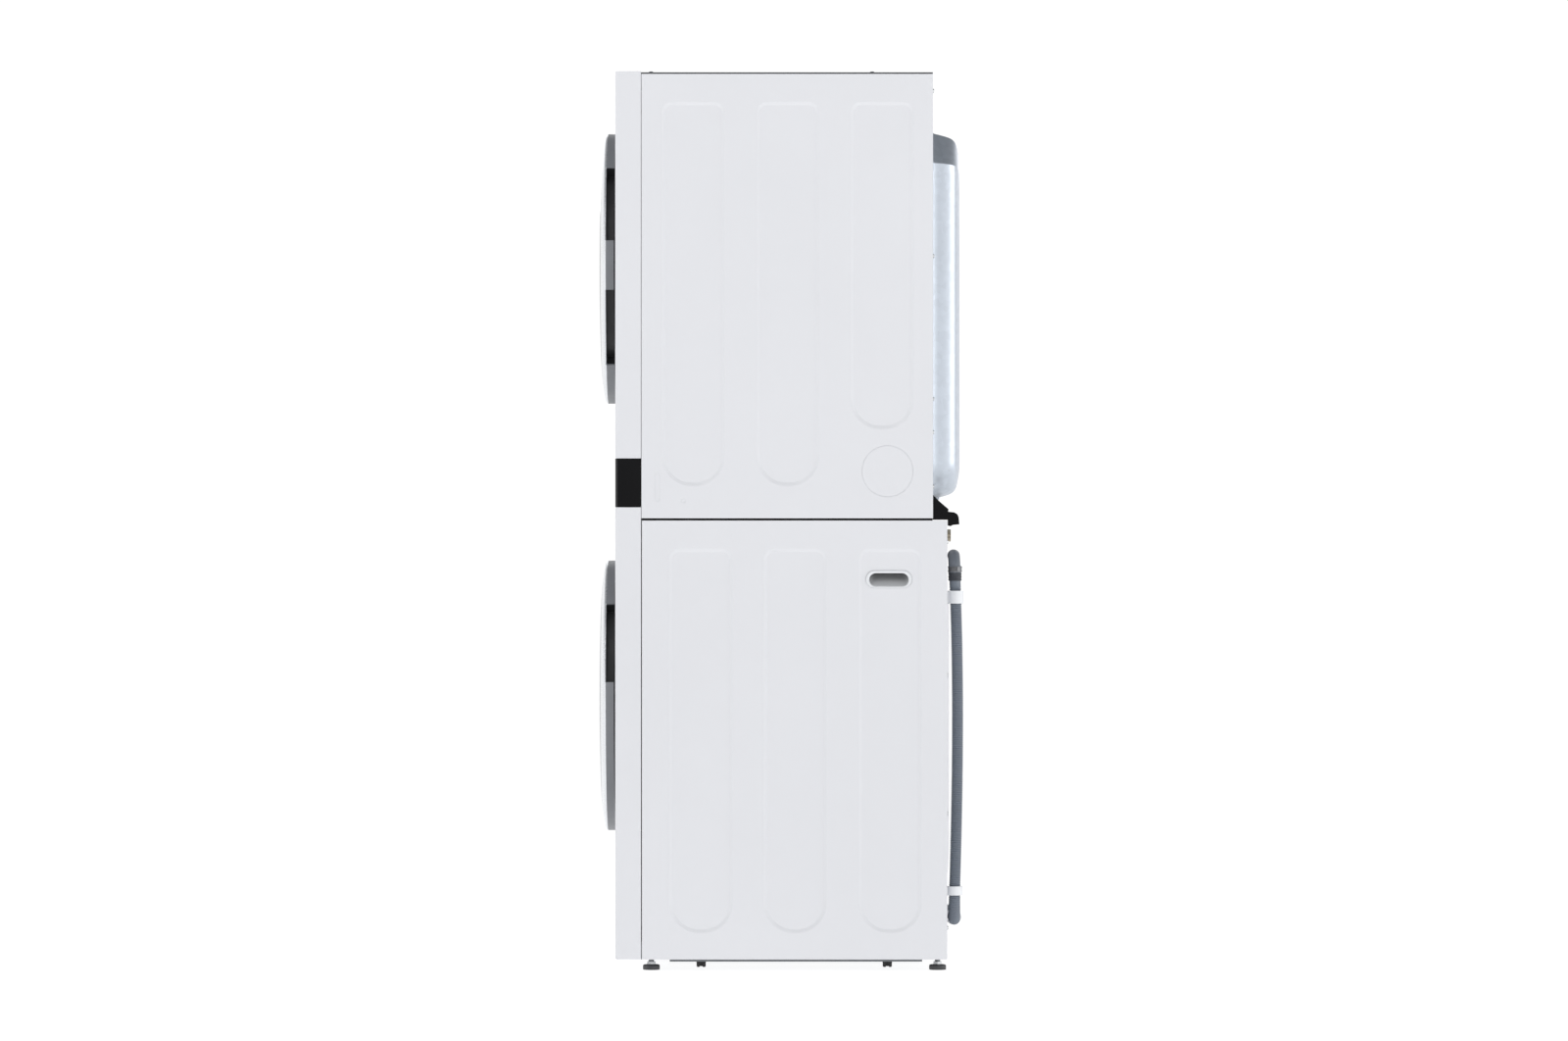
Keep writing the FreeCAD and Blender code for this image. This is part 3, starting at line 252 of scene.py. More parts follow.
def gloss_glass(name, col, rough=0.05, transmission=0.0, ior=1.5, alpha=1.0, vary=0.02):
    """Tempered or moulded glass with very faint wipe marks."""
    b = Build(name)
    wipe = b.noise(9.0, 6.0, 0.7, b.mapped((1.0, 1.0, 0.4), (0.3, 0.2, 0.5)), 0.6)
    spot = b.noise(65.0, 4.0, 0.7)
    base = b.mix(b.ramp(b.noise(3.0, 2.0), 0.3, 0.7), shade(col, 1.0 - vary), shade(col, 1.0 + vary))
    base = b.mix(b.math("MULTIPLY", b.ramp(spot, 0.62, 0.8), 0.05), base, srgb(150, 152, 156))
    b.set(Base_Color=base, Roughness=b.ramp(wipe, 0.35, 0.75, rough, rough + 0.06),
          Normal=b.bump(b.noise(14.0, 2.0, 0.4), 0.015, 0.0004, b.rounded(0.5 * S)))
    b.bsdf.inputs["IOR"].default_value = ior
    b.bsdf.inputs["Transmission Weight"].default_value = transmission
    b.bsdf.inputs["Alpha"].default_value = alpha
    MATS[name] = b.mat


def smoke_glass(name):
    """Smoked door glass: an opaque black border fired on from behind, and a slightly lighter tinted middle with a dotted fade."""
    b = Build(name)
    sep = b.add("ShaderNodeSeparateXYZ")
    b.link(b.co, sep.inputs[0])
    x, z = sep.outputs[0], sep.outputs[2]
    centre = b.math("ADD", b.math("MULTIPLY", b.math("GREATER_THAN", z, 1.0), 0.911), 0.571)
    dz = b.math("SUBTRACT", z, centre)
    r = b.math("SQRT", b.math("ADD", b.math("MULTIPLY", x, x), b.math("MULTIPLY", dz, dz)), 0.0)
    dots = b.voronoi(330.0, "F1", "Distance", None, 0.0)
    fade = b.ramp(r, 0.176, 0.196)
    border = b.math("GREATER_THAN", b.math("ADD", fade, b.ramp(dots, 0.15, 0.75, 0.0, -0.9)), 0.05)
    tint = b.mix(b.ramp(b.noise(3.0, 2.0), 0.3, 0.7), srgb(27, 28, 31), srgb(31, 32, 35))
    base = b.mix(border, tint, srgb(7, 7, 8))
    wipe = b.noise(9.0, 6.0, 0.7, b.mapped((1.0, 1.0, 0.4), (0.3, 0.2, 0.5)), 0.6)
    b.set(Base_Color=base, Roughness=b.ramp(wipe, 0.35, 0.75, 0.04, 0.11), Normal=b.bump(b.noise(14.0, 2.0, 0.4), 0.012, 0.0004))
    b.bsdf.inputs["IOR"].default_value = 1.42
    MATS[name] = b.mat


def rubber(name, col, rough=0.62, sheen=0.15):
    b = Build(name)
    bloom = b.noise(24.0, 6.0, 0.7)
    grit = b.noise(650.0, 4.0, 0.7)
    base = b.mix(b.ramp(bloom, 0.4, 0.75, 0.0, 0.35), col, shade(col, 1.7))
    base = b.mix(b.ramp(grit, 0.5, 0.75, 0.0, 0.3), base, shade(col, 0.6))
    base = b.mix(b.math("MULTIPLY", b.edges(0.0008), 0.2), base, shade(col, 1.9))
    b.set(Base_Color=base, Roughness=b.ramp(bloom, 0.3, 0.7, rough - 0.08, rough + 0.1),
          Normal=b.bump(grit, 0.2, 0.0002, b.rounded(0.4 * S)))
    b.bsdf.inputs["Sheen Weight"].default_value = sheen
    MATS[name] = b.mat


def concrete(name):
    b = Build(name)
    agg = b.voronoi(180.0, "F1", "Distance")
    fine = b.noise(320.0, 6.0, 0.7)
    cloud = b.noise(14.0, 5.0, 0.6)
    col = srgb(150, 148, 142)
    base = b.mix(b.ramp(cloud, 0.3, 0.7), shade(col, 0.82), shade(col, 1.1))
    base = b.mix(b.ramp(agg, 0.0, 0.35, 0.45, 0.0), base, srgb(105, 101, 95))
    base = b.mix(b.ramp(fine, 0.45, 0.7, 0.0, 0.4), base, srgb(182, 179, 172))
    pits = b.ramp(b.voronoi(75.0), 0.02, 0.10)
    b.set(Base_Color=base, Roughness=b.ramp(fine, 0.3, 0.7, 0.78, 0.95),
          Normal=b.bump(b.math("ADD", fine, pits), 0.6, 0.0006))
    MATS[name] = b.mat


def copper_core(name):
    """Stator: dark laminations with enamelled copper turns round the rim."""
    b = Build(name)
    wave = b.add("ShaderNodeTexWave", wave_type="BANDS", bands_direction="Y")
    wave.inputs["Scale"].default_value = 180.0
    b.link(b.co, wave.inputs["Vector"])
    turns = wave.outputs["Fac"]
    base = b.mix(b.ramp(turns, 0.2, 0.8), srgb(92, 44, 20), srgb(190, 104, 52))
    base = b.mix(b.ramp(b.noise(40.0, 4.0), 0.4, 0.7, 0.0, 0.4), base, srgb(60, 58, 58))
    b.set(Base_Color=base, Metallic=0.7, Roughness=b.ramp(turns, 0.0, 1.0, 0.42, 0.28),
          Normal=b.bump(turns, 0.4, 0.0004))
    MATS[name] = b.mat


def door_plastic(name):
    """Door moulding in two shots: a grey outer band, and a near-black lining in the finger pockets behind it."""
    b = Build(name)
    sep = b.add("ShaderNodeSeparateXYZ")
    b.link(b.co, sep.inputs[0])
    x, y, z = sep.outputs[0], sep.outputs[1], sep.outputs[2]
    upper = b.math("GREATER_THAN", z, 1.0)
    centre = b.math("ADD", b.math("MULTIPLY", upper, 0.911), 0.571)
    dz = b.math("SUBTRACT", z, centre)
    r = b.math("SQRT", b.math("ADD", b.math("MULTIPLY", x, x), b.math("MULTIPLY", dz, dz)), 0.0)
    band = b.ramp(r, 0.2845, 0.2848)
    grit = b.noise(1000.0, 3.0, 0.6)
    cloud = b.noise(7.0, 4.0, 0.6)
    grey = b.mix(b.ramp(cloud, 0.3, 0.7), srgb(116, 118, 122), srgb(126, 128, 132))
    lining = b.mix(b.ramp(cloud, 0.3, 0.7), srgb(26, 27, 30), srgb(35, 36, 39))
    base = b.mix(band, lining, grey)
    base = b.mix(b.ramp(grit, 0.45, 0.75, 0.0, 0.2), base, srgb(70, 71, 74))
    base = b.mix(b.math("MULTIPLY", b.edges(0.0008), 0.15), base, srgb(190, 192, 195))
    b.set(Base_Color=base, Roughness=b.ramp(b.noise(16.0, 4.0, 0.6), 0.3, 0.7, 0.36, 0.5),
          Normal=b.bump(grit, 0.1, 0.00012, b.rounded(0.5 * S)))
    MATS[name] = b.mat


WHITE = srgb(236, 237, 241)
paint("white_paint", shade(WHITE, 0.87), rough=0.4, coat=0.15, peel=0.08)
paint("dark_rail", srgb(118, 122, 126), rough=0.46, coat=0.0, peel=0.14, wear=0.25)
paint("lid_steel", srgb(84, 86, 89), rough=0.5, coat=0.0, peel=0.1, wear=0.15)
galvanised("galvanised", srgb(196, 203, 212), rough=0.33)
plastic("panel_black", srgb(11, 11, 13), rough=0.5, grain=1100.0, depth=0.2, wear=0.10)
gloss_glass("panel_glass", srgb(17, 18, 21), rough=0.07)
door_plastic("door_grey")
metal("door_silver", srgb(226, 228, 231), rough=0.24, vary=0.02, metallic=0.8, brush_strength=0.02, round_mm=0.5, grain=700.0)
smoke_glass("door_smoke")
gloss_glass("bowl_glass", srgb(222, 230, 229), rough=0.03, transmission=1.0, ior=1.47)
plastic("liner_grey", srgb(176, 178, 181), rough=0.5, grain=800.0, depth=0.15)
metal("stainless", srgb(200, 201, 203), rough=0.27, brush=(1.0, 0.06, 1.0), brush_strength=0.08)
metal("cast_alu", srgb(168, 170, 172), rough=0.5, brush_strength=0.4, grain=240.0)
plastic("tub_plastic", srgb(188, 190, 190), rough=0.58, grain=500.0, depth=0.25, vary=0.06)
concrete("concrete")
copper_core("copper_core")
metal("dark_metal", srgb(96, 97, 100), rough=0.4, brush_strength=0.15, stain=0.2)
rubber("grey_rubber", srgb(106, 112, 121), rough=0.5)
rubber("black_rubber", srgb(28, 28, 30))
metal("spring_steel", srgb(150, 150, 152), rough=0.33, stain=0.25)
plastic("grey_plastic", srgb(138, 142, 147), rough=0.5, grain=700.0)
plastic("hose_grey", srgb(106, 114, 125), rough=0.46, grain=800.0, depth=0.12, vary=0.05, wear=0.0, coat=0.1)
plastic("clip_white", srgb(232, 234, 237), rough=0.42, grain=900.0, depth=0.1, vary=0.015, wear=0.05)
plastic("white_plastic", srgb(228, 230, 233), rough=0.4, grain=900.0, depth=0.08, vary=0.015, wear=0.04)
metal("brass_valve", srgb(176, 166, 148), rough=0.36, stain=0.3)
metal("zinc_screw", srgb(186, 188, 190), rough=0.34, stain=0.12, grain=600.0)
plastic("foot_dark", srgb(58, 59, 62), rough=0.5, grain=700.0, wear=0.15, dust=0.12)

paint("tray_black", srgb(30, 31, 33), rough=0.5, coat=0.0, peel=0.12, wear=0.1)
plastic("collar_dark", srgb(52, 55, 62), rough=0.5, grain=700.0)
metal("clamp_steel", srgb(118, 119, 122), rough=0.4, stain=0.08)
plastic("icon_white", srgb(214, 216, 220), rough=0.5, grain=900.0, depth=0.05, wear=0.0, round_mm=0.05)
plastic("icon_blue", srgb(120, 170, 205), rough=0.5, grain=900.0, depth=0.05, wear=0.0, round_mm=0.05)

for obj in NODES.values():
    for i, s in enumerate(obj.material_slots):
        base = s.material.name.split(".")[0] if s.material else ""
        if base in MATS:
            s.material = MATS[base]

for slot_ in NODES["dryer_base_tray"].material_slots:
    slot_.material = MATS["tray_black"]


# ------------------------------------------------------------------ mesh helpers
def new_mesh(name, verts, faces, mat, smooth=True, extra=()):
    me = bpy.data.meshes.new(name)
    me.from_pydata([Vector(v) * S for v in verts], [], faces)
    me.update()
    ob = bpy.data.objects.new(name, me)
    scene.collection.objects.link(ob)
    me.materials.append(mat)
    for m in extra:
        me.materials.append(m)
    bm = bmesh.new()
    bm.from_mesh(me)
    bmesh.ops.recalc_face_normals(bm, faces=bm.faces)
    bm.to_mesh(me)
    bm.free()
    if smooth:
        for p in me.polygons:
            p.use_smooth = True
    return ob


def sharpen(ob, angle=35.0):
    me = ob.data
    bm = bmesh.new()
    bm.from_mesh(me)
    lim = math.radians(angle)
    for e in bm.edges:
        e.smooth = not (len(e.link_faces) == 2 and e.calc_face_angle(0.0) > lim)
    bm.to_mesh(me)
    bm.free()


# ------------------------------------------------------------------ drain hose
HOSE_ROUTE = [(-0.010, 0.3640, 0.1080), (0.066, 0.3665, 0.1050), (0.166, 0.3680, 0.1030), (0.262, 0.3670, 0.1035),
              (0.300, 0.3660, 0.1415), (0.3005, 0.3690, 0.2410), (0.301, 0.3726, 0.4200), (0.3005, 0.3730, 0.6000),
              (0.300, 0.3704, 0.7400), (0.2995, 0.3674, 0.8220)]


def spline_points(route, resolution=24):
    cu = bpy.data.curves.new("route", "CURVE")
    cu.dimensions = "3D"
    sp = cu.splines.new("NURBS")
    sp.points.add(len(route) - 1)
    for p, co in zip(sp.points, route):
        p.co = (co[0], co[1], co[2], 1.0)
    sp.order_u = 3
    sp.use_endpoint_u = True
    sp.resolution_u = resolution
    tmp = bpy.data.objects.new("route", cu)
    scene.collection.objects.link(tmp)
    bpy.context.view_layer.update()
    me = bpy.data.meshes.new_from_object(tmp)
    pts = [v.co.copy() for v in me.vertices]
    bpy.data.objects.remove(tmp)
    return pts


def walk(pts, step):
    """Evenly spaced stations along the line, with their tangents."""
    acc = [0.0]
    for a, b in zip(pts, pts[1:]):
        acc.append(acc[-1] + (b - a).length)
    total = acc[-1]
    n = max(2, int(round(total / step)))
    out, j = [], 0
    for i in range(n + 1):
        s = total * i / n
        while j < len(acc) - 2 and acc[j + 1] < s:
            j += 1
        seg = acc[j + 1] - acc[j]
        f = (s - acc[j]) / seg if seg > 0 else 0.0
        out.append((pts[j].lerp(pts[j + 1], f), s))
    return out, total


def tube_along(name, pts, step, radius, around, mat):
    stations, total = walk(pts, step)
    co = [p for p, _ in stations]
    n = len(co)
    verts, faces = [], []
    side = Vector((0, 1, 0))
    for i, (p, s) in enumerate(stations):
        t = (co[min(i + 1, n - 1)] - co[max(i - 1, 0)]).normalized()
        side = (side - t * side.dot(t)).normalized()
        up = t.cross(side)
        r = radius(s, total)
        for k in range(around):
            a = 2 * math.pi * k / around
            verts.append((p + (side * math.cos(a) + up * math.sin(a)) * r) / S)
    for i in range(n - 1):
        for k in range(around):
            k2 = (k + 1) % around
            faces.append((i * around + k, i * around + k2, (i + 1) * around + k2, (i + 1) * around + k))
    faces.append(tuple(reversed(range(around))))
    faces.append(tuple((n - 1) * around + k for k in range(around)))
    ob = new_mesh(name, verts, faces, mat)
    return ob, total


HOSE_PITCH = 0.0046


def hose_radius(s, total):
    """Rounded corrugations, with a plain stretch at each end where the cuffs are."""
    crest, root, plain = 0.0124, 0.0105, 0.0118
    end = min(s, total - s)
    if end < 0.012:
        return plain
    u = (s / HOSE_PITCH) % 1.0
    w = 0.5 - 0.5 * math.cos(2 * math.pi * u)
    w = w ** 0.6
    fade = min(1.0, (end - 0.012) / 0.01)
    return plain + (root + (crest - root) * w - plain) * fade


hose_line = spline_points(HOSE_ROUTE)
hose, hose_len = tube_along("drain_hose_corrugated", hose_line, HOSE_PITCH / 7.0, hose_radius, 36, MATS["hose_grey"])
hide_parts("drain_hose")
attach(hose, "cabinet")

# ------------------------------------------------------------------ hose end: clamp and collar
def lathe(name, profile, centre, axis, mat, around=96, smooth=True, closed=True):
    """Turns (radius, height) points about an axis through centre; height runs along the axis."""
    ax = Vector(axis).normalized()
    u = ax.orthogonal().normalized()
    v = ax.cross(u)
    verts, faces = [], []
    n = len(profile)
    for k in range(around):
        a = 2 * math.pi * k / around
        d = u * math.cos(a) + v * math.sin(a)
        for r, h in profile:
            verts.append(Vector(centre) + d * r + ax * h)
    for k in range(around):
        k2 = (k + 1) % around
        for i in range(n if closed else n - 1):
            i2 = (i + 1) % n
            faces.append((k * n + i, k * n + i2, k2 * n + i2, k2 * n + i))
    ob = new_mesh(name, verts, faces, mat, smooth)
    bm = bmesh.new()
    bm.from_mesh(ob.data)
    bmesh.ops.remove_doubles(bm, verts=bm.verts, dist=1e-6)
    bmesh.ops.dissolve_degenerate(bm, dist=1e-7, edges=bm.edges)
    bmesh.ops.recalc_face_normals(bm, faces=bm.faces)
    bm.to_mesh(ob.data)
    bm.free()
    sharpen(ob, 32.0)
    return ob


def plate(name, outline, axis_off, thick, mat, plane="XZ", ride_on="cabinet"):
    """Thin extruded outline: points are (a, b) in the plane, axis_off and thick run along the third axis."""
    bm = bmesh.new()
    lo, hi = [], []
    for a, c in outline:
        if plane == "XZ":
            lo.append(bm.verts.new(Vector((a, axis_off, c)) * S))
            hi.append(bm.verts.new(Vector((a, axis_off + thick, c)) * S))
        else:
            lo.append(bm.verts.new(Vector((axis_off, a, c)) * S))
            hi.append(bm.verts.new(Vector((axis_off + thick, a, c)) * S))
    bm.faces.new(lo)
    bm.faces.new(list(reversed(hi)))
    n = len(lo)
    for i in range(n):
        bm.faces.new((lo[i], hi[i], hi[(i + 1) % n], lo[(i + 1) % n]))
    bmesh.ops.recalc_face_normals(bm, faces=bm.faces)
    me = bpy.data.meshes.new(name)
    bm.to_mesh(me)
    bm.free()
    me.materials.append(mat)
    ob = bpy.data.objects.new(name, me)
    scene.collection.objects.link(ob)
    return ob


def join(name, objs, ride_on):
    """Puts loose shapes of one finish together as one mesh."""
    bm = bmesh.new()
    mats = []
    for o in objs:
        for m in o.data.materials:
            if m not in mats:
                mats.append(m)
    for o in objs:
        start = len(bm.faces)
        bm.from_mesh(o.data)
        bm.faces.ensure_lookup_table()
        idx = [mats.index(m) for m in o.data.materials]
        for f in bm.faces[start:]:
            f.material_index = idx[f.material_index]
    me = bpy.data.meshes.new(name)
    bm.to_mesh(me)
    bm.free()
    for m in mats:
        me.materials.append(m)
    for o in objs:
        bpy.data.objects.remove(o)
    ob = bpy.data.objects.new(name, me)
    scene.collection.objects.link(ob)
    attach(ob, ride_on)
    return ob


# collar that the corrugated tube is pushed into, and the spring clamp over the cuff
collar = lathe("hose_collar", [(12.75, 818.0), (13.5, 818.0), (14.0, 819.2), (14.0, 821.0), (13.4, 822.0), (13.4, 824.0), (14.1, 825.0),
                               (14.1, 827.4), (13.5, 828.4), (13.5, 831.0), (14.1, 832.0), (14.1, 834.0), (13.2, 834.6), (12.75, 834.6)],
               (299.5, 367.4, 0.0), (0, 0, 1), MATS["collar_dark"], 72)
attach(collar, "cabinet")
clamp = lathe("hose_clamp", [(14.05, 836.5), (14.7, 836.5), (14.9, 837.0), (14.9, 839.4), (14.4, 839.9), (14.4, 844.4), (14.9, 844.9),
                             (14.9, 847.3), (14.7, 847.8), (14.05, 847.8)],
              (299.5, 367.4, 0.0), (0, 0, 1), MATS["clamp_steel"], 72)
ear_a = plate("ear", [(311.5, 838.5), (316.5, 838.0), (317.2, 839.0), (317.2, 845.4), (316.5, 846.4), (311.5, 845.9)], 362.2, 1.1, MATS["clamp_steel"])
ear_b = plate("ear", [(311.5, 838.5), (316.5, 838.0), (317.2, 839.0), (317.2, 845.4), (316.5, 846.4), (311.5, 845.9)], 371.0, 1.1, MATS["clamp_steel"])
clamp = join("hose_clamp", [clamp, ear_a, ear_b], "cabinet")


# ------------------------------------------------------------------ rear cover, a soft pressed pan
COVER = [(290, 1040, 80), (290, 1698, 9), (227, 1761.5, 9), (-227, 1761.5, 9), (-290, 1698, 9), (-290, 1250, 9), (-227, 1187, 9), (10, 1187, 22),
         (40, 1157, 22), (40, 1035, 20), (85, 990, 20), (240, 990, 80)]


def cover_ring(g, y, per=9):
    n = len(COVER)
    area = sum(COVER[i][0] * COVER[(i + 1) % n][1] - COVER[(i + 1) % n][0] * COVER[i][1] for i in range(n))
    sg = 1.0 if area > 0 else -1.0
    pts = []
    for i in range(n):
        (x0, z0, _), (x1, z1, rad), (x2, z2, _) = COVER[i - 1], COVER[i], COVER[(i + 1) % n]
        d1 = Vector((x1 - x0, z1 - z0)).normalized()
        d2 = Vector((x2 - x1, z2 - z1)).normalized()
        n1, n2 = Vector((-d1.y, d1.x)) * sg, Vector((-d2.y, d2.x)) * sg
        k = g / (1.0 + n1.dot(n2))
        corner = Vector((x1, z1)) + (n1 + n2) * k
        turn = (d1.x * d2.y - d1.y * d2.x) * sg
        r = max(3.0, rad - g) if turn > 0 else rad + g
        half = math.acos(max(-1.0, min(1.0, d1.dot(d2)))) / 2.0
        reach = r * math.tan(half)
        a, c = corner - d1 * reach, corner + d2 * reach
        for j in range(per):
            t = j / (per - 1)
            # quadratic blend keeps the tangents of both straight runs
            p = a * (1 - t) ** 2 + corner * 2 * t * (1 - t) + c * t ** 2
            pts.append((p.x, y, p.y))
    return pts


OUTER = [(-12.0, 320.7), (-12.0, 321.6), (-3.0, 321.7), (-1.0, 322.2), (0.2, 324.5), (2.6, 334.0), (5.8, 346.0), (8.6, 355.0), (10.6, 359.8),
         (13.2, 363.8), (16.4, 367.2), (20.6, 370.0), (26.0, 372.2), (34.0, 374.4), (46.0, 376.5), (57.0, 378.0), (64.0, 378.7)]
INNER = [(g + 1.2, y - 1.1) for g, y in reversed(OUTER[4:])] + [(-1.5, 320.7)]
rings = [cover_ring(g, y) for g, y in OUTER]
m = len(rings[0])
verts = [p for r in rings for p in r]
faces = []
for i in range(len(rings) - 1):
    for k in range(m):
        faces.append((i * m + k, i * m + (k + 1) % m, (i + 1) * m + (k + 1) % m, (i + 1) * m + k))
faces.append(tuple((len(rings) - 1) * m + k for k in range(m)))
o = len(verts)
inner = [cover_ring(g, y) for g, y in INNER]
verts += [p for r in inner for p in r]
faces.append(tuple(o + k for k in reversed(range(m))))
for i in range(len(inner) - 1):
    for k in range(m):
        faces.append((o + i * m + k, o + i * m + (k + 1) % m, o + (i + 1) * m + (k + 1) % m, o + (i + 1) * m + k))
last = o + (len(inner) - 1) * m
for k in range(m):
    faces.append((last + k, last + (k + 1) % m, (k + 1) % m, k))
cover = new_mesh("rear_cover_pressed", verts, faces, MATS["galvanised"])
sharpen(cover, 40.0)
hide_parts("dryer_rear_cover")
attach(cover, "cabinet")


# ------------------------------------------------------------------ door glasses, turned fine enough to stay smooth
ZW, ZD = 571.0, 1482.0
DOME = [(0.0, 386.0), (30.0, 385.95), (60.0, 385.8), (90.0, 385.45), (120.0, 384.9), (150.0, 384.1), (180.0, 383.1), (205.0, 382.0),
        (225.0, 380.9), (240.0, 379.8), (246.2, 379.2), (247.3, 378.7), (247.6, 378.0), (247.6, 376.4), (225.0, 377.0), (180.0, 379.1),
        (120.0, 380.9), (60.0, 381.8), (0.0, 382.0)]
for body, zc in (("washer_door", ZW), ("dryer_door", ZD)):
    dome = lathe(body + "_smoke_dome", DOME, (0.0, 0.0, zc), (0, -1, 0), MATS["door_smoke"], 144, closed=False)
    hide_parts(body + "_glass")
    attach(dome, body)


# ------------------------------------------------------------------ levelling feet: pad, lock nut and threaded stem
def hexagon(cx, cy, r, z0, z1, mat):
    bm = bmesh.new()
    lo = [bm.verts.new(Vector((cx + r * math.cos(math.pi / 3 * k), cy + r * math.sin(math.pi / 3 * k), z0)) * S) for k in range(6)]
    hi = [bm.verts.new(Vector((cx + r * math.cos(math.pi / 3 * k), cy + r * math.sin(math.pi / 3 * k), z1)) * S) for k in range(6)]
    bm.faces.new(list(reversed(lo)))
    bm.faces.new(hi)
    for k in range(6):
        bm.faces.new((lo[k], lo[(k + 1) % 6], hi[(k + 1) % 6], hi[k]))
    bmesh.ops.bevel(bm, geom=list(bm.edges), offset=0.0006, segments=2, affect="EDGES")
    me = bpy.data.meshes.new("hex")
    bm.to_mesh(me)
    bm.free()
    me.materials.append(mat)
    ob = bpy.data.objects.new("hex", me)
    scene.collection.objects.link(ob)
    return ob


foot_lo, foot_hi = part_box("leveling_feet")
STEM_TOP = foot_hi.z / S
foot_parts = []
for fx in (-290.0, 290.0):
    for fy in (-271.0, 331.0):
        pad = [(0.0, 0.2), (15.0, 0.2), (15.4, 0.0), (16.6, 0.0), (17.6, 0.8), (18.0, 2.2), (18.0, 8.4), (17.6, 9.8), (16.4, 10.9),
               (14.6, 11.4), (0.0, 11.6)]
        foot_parts.append(lathe("pad", pad, (fx, fy, 0.0), (0, 0, 1), MATS["foot_dark"], 64, closed=False))
        thread, z = [(0.0, 11.2), (5.4, 11.2)], 11.4
        while z < STEM_TOP - 0.8:
            thread += [(5.4, z), (6.3, z + 0.55), (5.4, z + 1.1)]
            z += 1.25
        thread += [(5.0, STEM_TOP - 0.2), (0.0, STEM_TOP - 0.2)]
        foot_parts.append(lathe("stem", thread, (fx, fy, 0.0), (0, 0, 1), MATS["zinc_screw"], 40, closed=False))
        foot_parts.append(hexagon(fx, fy, 10.2, 11.6, 17.4, MATS["zinc_screw"]))
feet = join("levelling_feet_detailed", foot_parts, "leveling_feet")
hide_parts("leveling_feet")


# ------------------------------------------------------------------ finger grips with a sloping scoop
def grip_plastic(name, col):
    """White moulding with painted shade inside the scoop, darkest towards the closed upper end."""
    b = Build(name)
    sep = b.add("ShaderNodeSeparateXYZ")
    b.link(b.co, sep.inputs[0])
    x, z = sep.outputs[0], sep.outputs[2]
    # mask for the inside of the scoop, where the shade is painted into the colour
    inside = b.math("LESS_THAN", b.math("ABSOLUTE", x, 0.0), 0.3414)
    grit = b.noise(900.0, 3.0, 0.6)
    # painted shade: inside the scoop the white is dimmed to 0.80 at the lower lip and to 0.12 at the overhung upper end
    up = b.ramp(z, 0.8065, 0.8325)
    scoop_painted_shade = b.mix(up, shade(col, 0.80), shade(col, 0.12))
    base = b.mix(inside, b.mix(b.ramp(grit, 0.45, 0.75, 0.0, 0.15), col, shade(col, 0.8)), scoop_painted_shade)
    b.set(Base_Color=base, Roughness=0.5, Normal=b.bump(grit, 0.12, 0.00015, b.rounded(0.4 * S)))
    MATS[name] = b.mat


grip_plastic("grip_plastic", srgb(226, 228, 231))
for node in MATS["panel_black"].node_tree.nodes:
    if node.type == "BSDF_PRINCIPLED":
        node.inputs["Specular IOR Level"].default_value = 0.12


def slot_ring(yc, zc, w, h, x, n=20):
    """Stadium outline, long side along Y, given anticlockwise."""
    r = h / 2.0
    half = w / 2.0 - r
    pts = []
    for k in range(n + 1):
        a = -math.pi / 2 + math.pi * k / n
        pts.append((x, yc + half + r * math.cos(a), zc + r * math.sin(a)))
    for k in range(n + 1):
        a = math.pi / 2 + math.pi * k / n
        pts.append((x, yc - half + r * math.cos(a), zc + r * math.sin(a)))
    return pts


grip_parts = []
for sx in (-1, 1):
    yc, zc = 228.0, 821.3
    zi = 820.2
    loops = [slot_ring(yc, zc, 96.4, 36.4, 341.0), slot_ring(yc, zc, 96.4, 36.4, 342.4), slot_ring(yc, zc, 94.8, 34.8, 342.85),
             slot_ring(yc, zc - 0.2, 89.0, 32.4, 342.85), slot_ring(yc, zi, 83.8, 28.6, 342.2), slot_ring(yc, zi, 82.2, 27.4, 341.0)]

    def scoop(q):
        """Pocket that is shallow at its lower lip and deep behind its upper edge."""
        out = []
        for x, y, z in slot_ring(yc, zi, 82.2, 27.4, 0.0):
            py, pz = yc + (y - yc) * (0.55 * q + 0.45 if abs(q) > 0 else 0.45), zi + (z - zi) * q
            t = max(0.0, min(1.0, (pz - (zi - 13.7)) / 27.4))
            out.append((341.0 - 27.0 * t ** 0.85 * (1.0 - q ** 9), py, pz))
        return out

    loops += [scoop(q) for q in (0.985, 0.96, 0.93, 0.89, 0.83, 0.74, 0.6, 0.42, 0.22, 0.05)]
    n = len(loops[0])
    v2 = [(sx * x, y, z) for lp in loops for x, y, z in lp]
    f2 = []
    for i in range(len(loops) - 1):
        for k in range(n):
            f2.append((i * n + k, i * n + (k + 1) % n, (i + 1) * n + (k + 1) % n, (i + 1) * n + k))
    f2.append(tuple((len(loops) - 1) * n + k for k in range(n)))
    # back of the moulding, so that it is a closed shell
    back = [[(sx * (x - 1.4), y + (1.2 if y > yc else -1.2), z + (1.0 if z > zi else -1.0)) for x, y, z in lp] for lp in loops[6:]]
    o2 = len(v2)
    v2 += [q for lp in back for q in lp]
    for i in range(len(back) - 1):
        for k in range(n):
            f2.append((o2 + i * n + k, o2 + (i + 1) * n + k, o2 + (i + 1) * n + (k + 1) % n, o2 + i * n + (k + 1) % n))
    f2.append(tuple(o2 + (len(back) - 1) * n + k for k in reversed(range(n))))
    for k in range(n):
        f2.append((k, (k + 1) % n, o2 + (k + 1) % n, o2 + k))
    grip_parts.append(new_mesh("grip", v2, f2, MATS["grip_plastic"]))
    sharpen(grip_parts[-1], 50.0)
grips = join("finger_grips", grip_parts, "cabinet")
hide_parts("grip_cups")


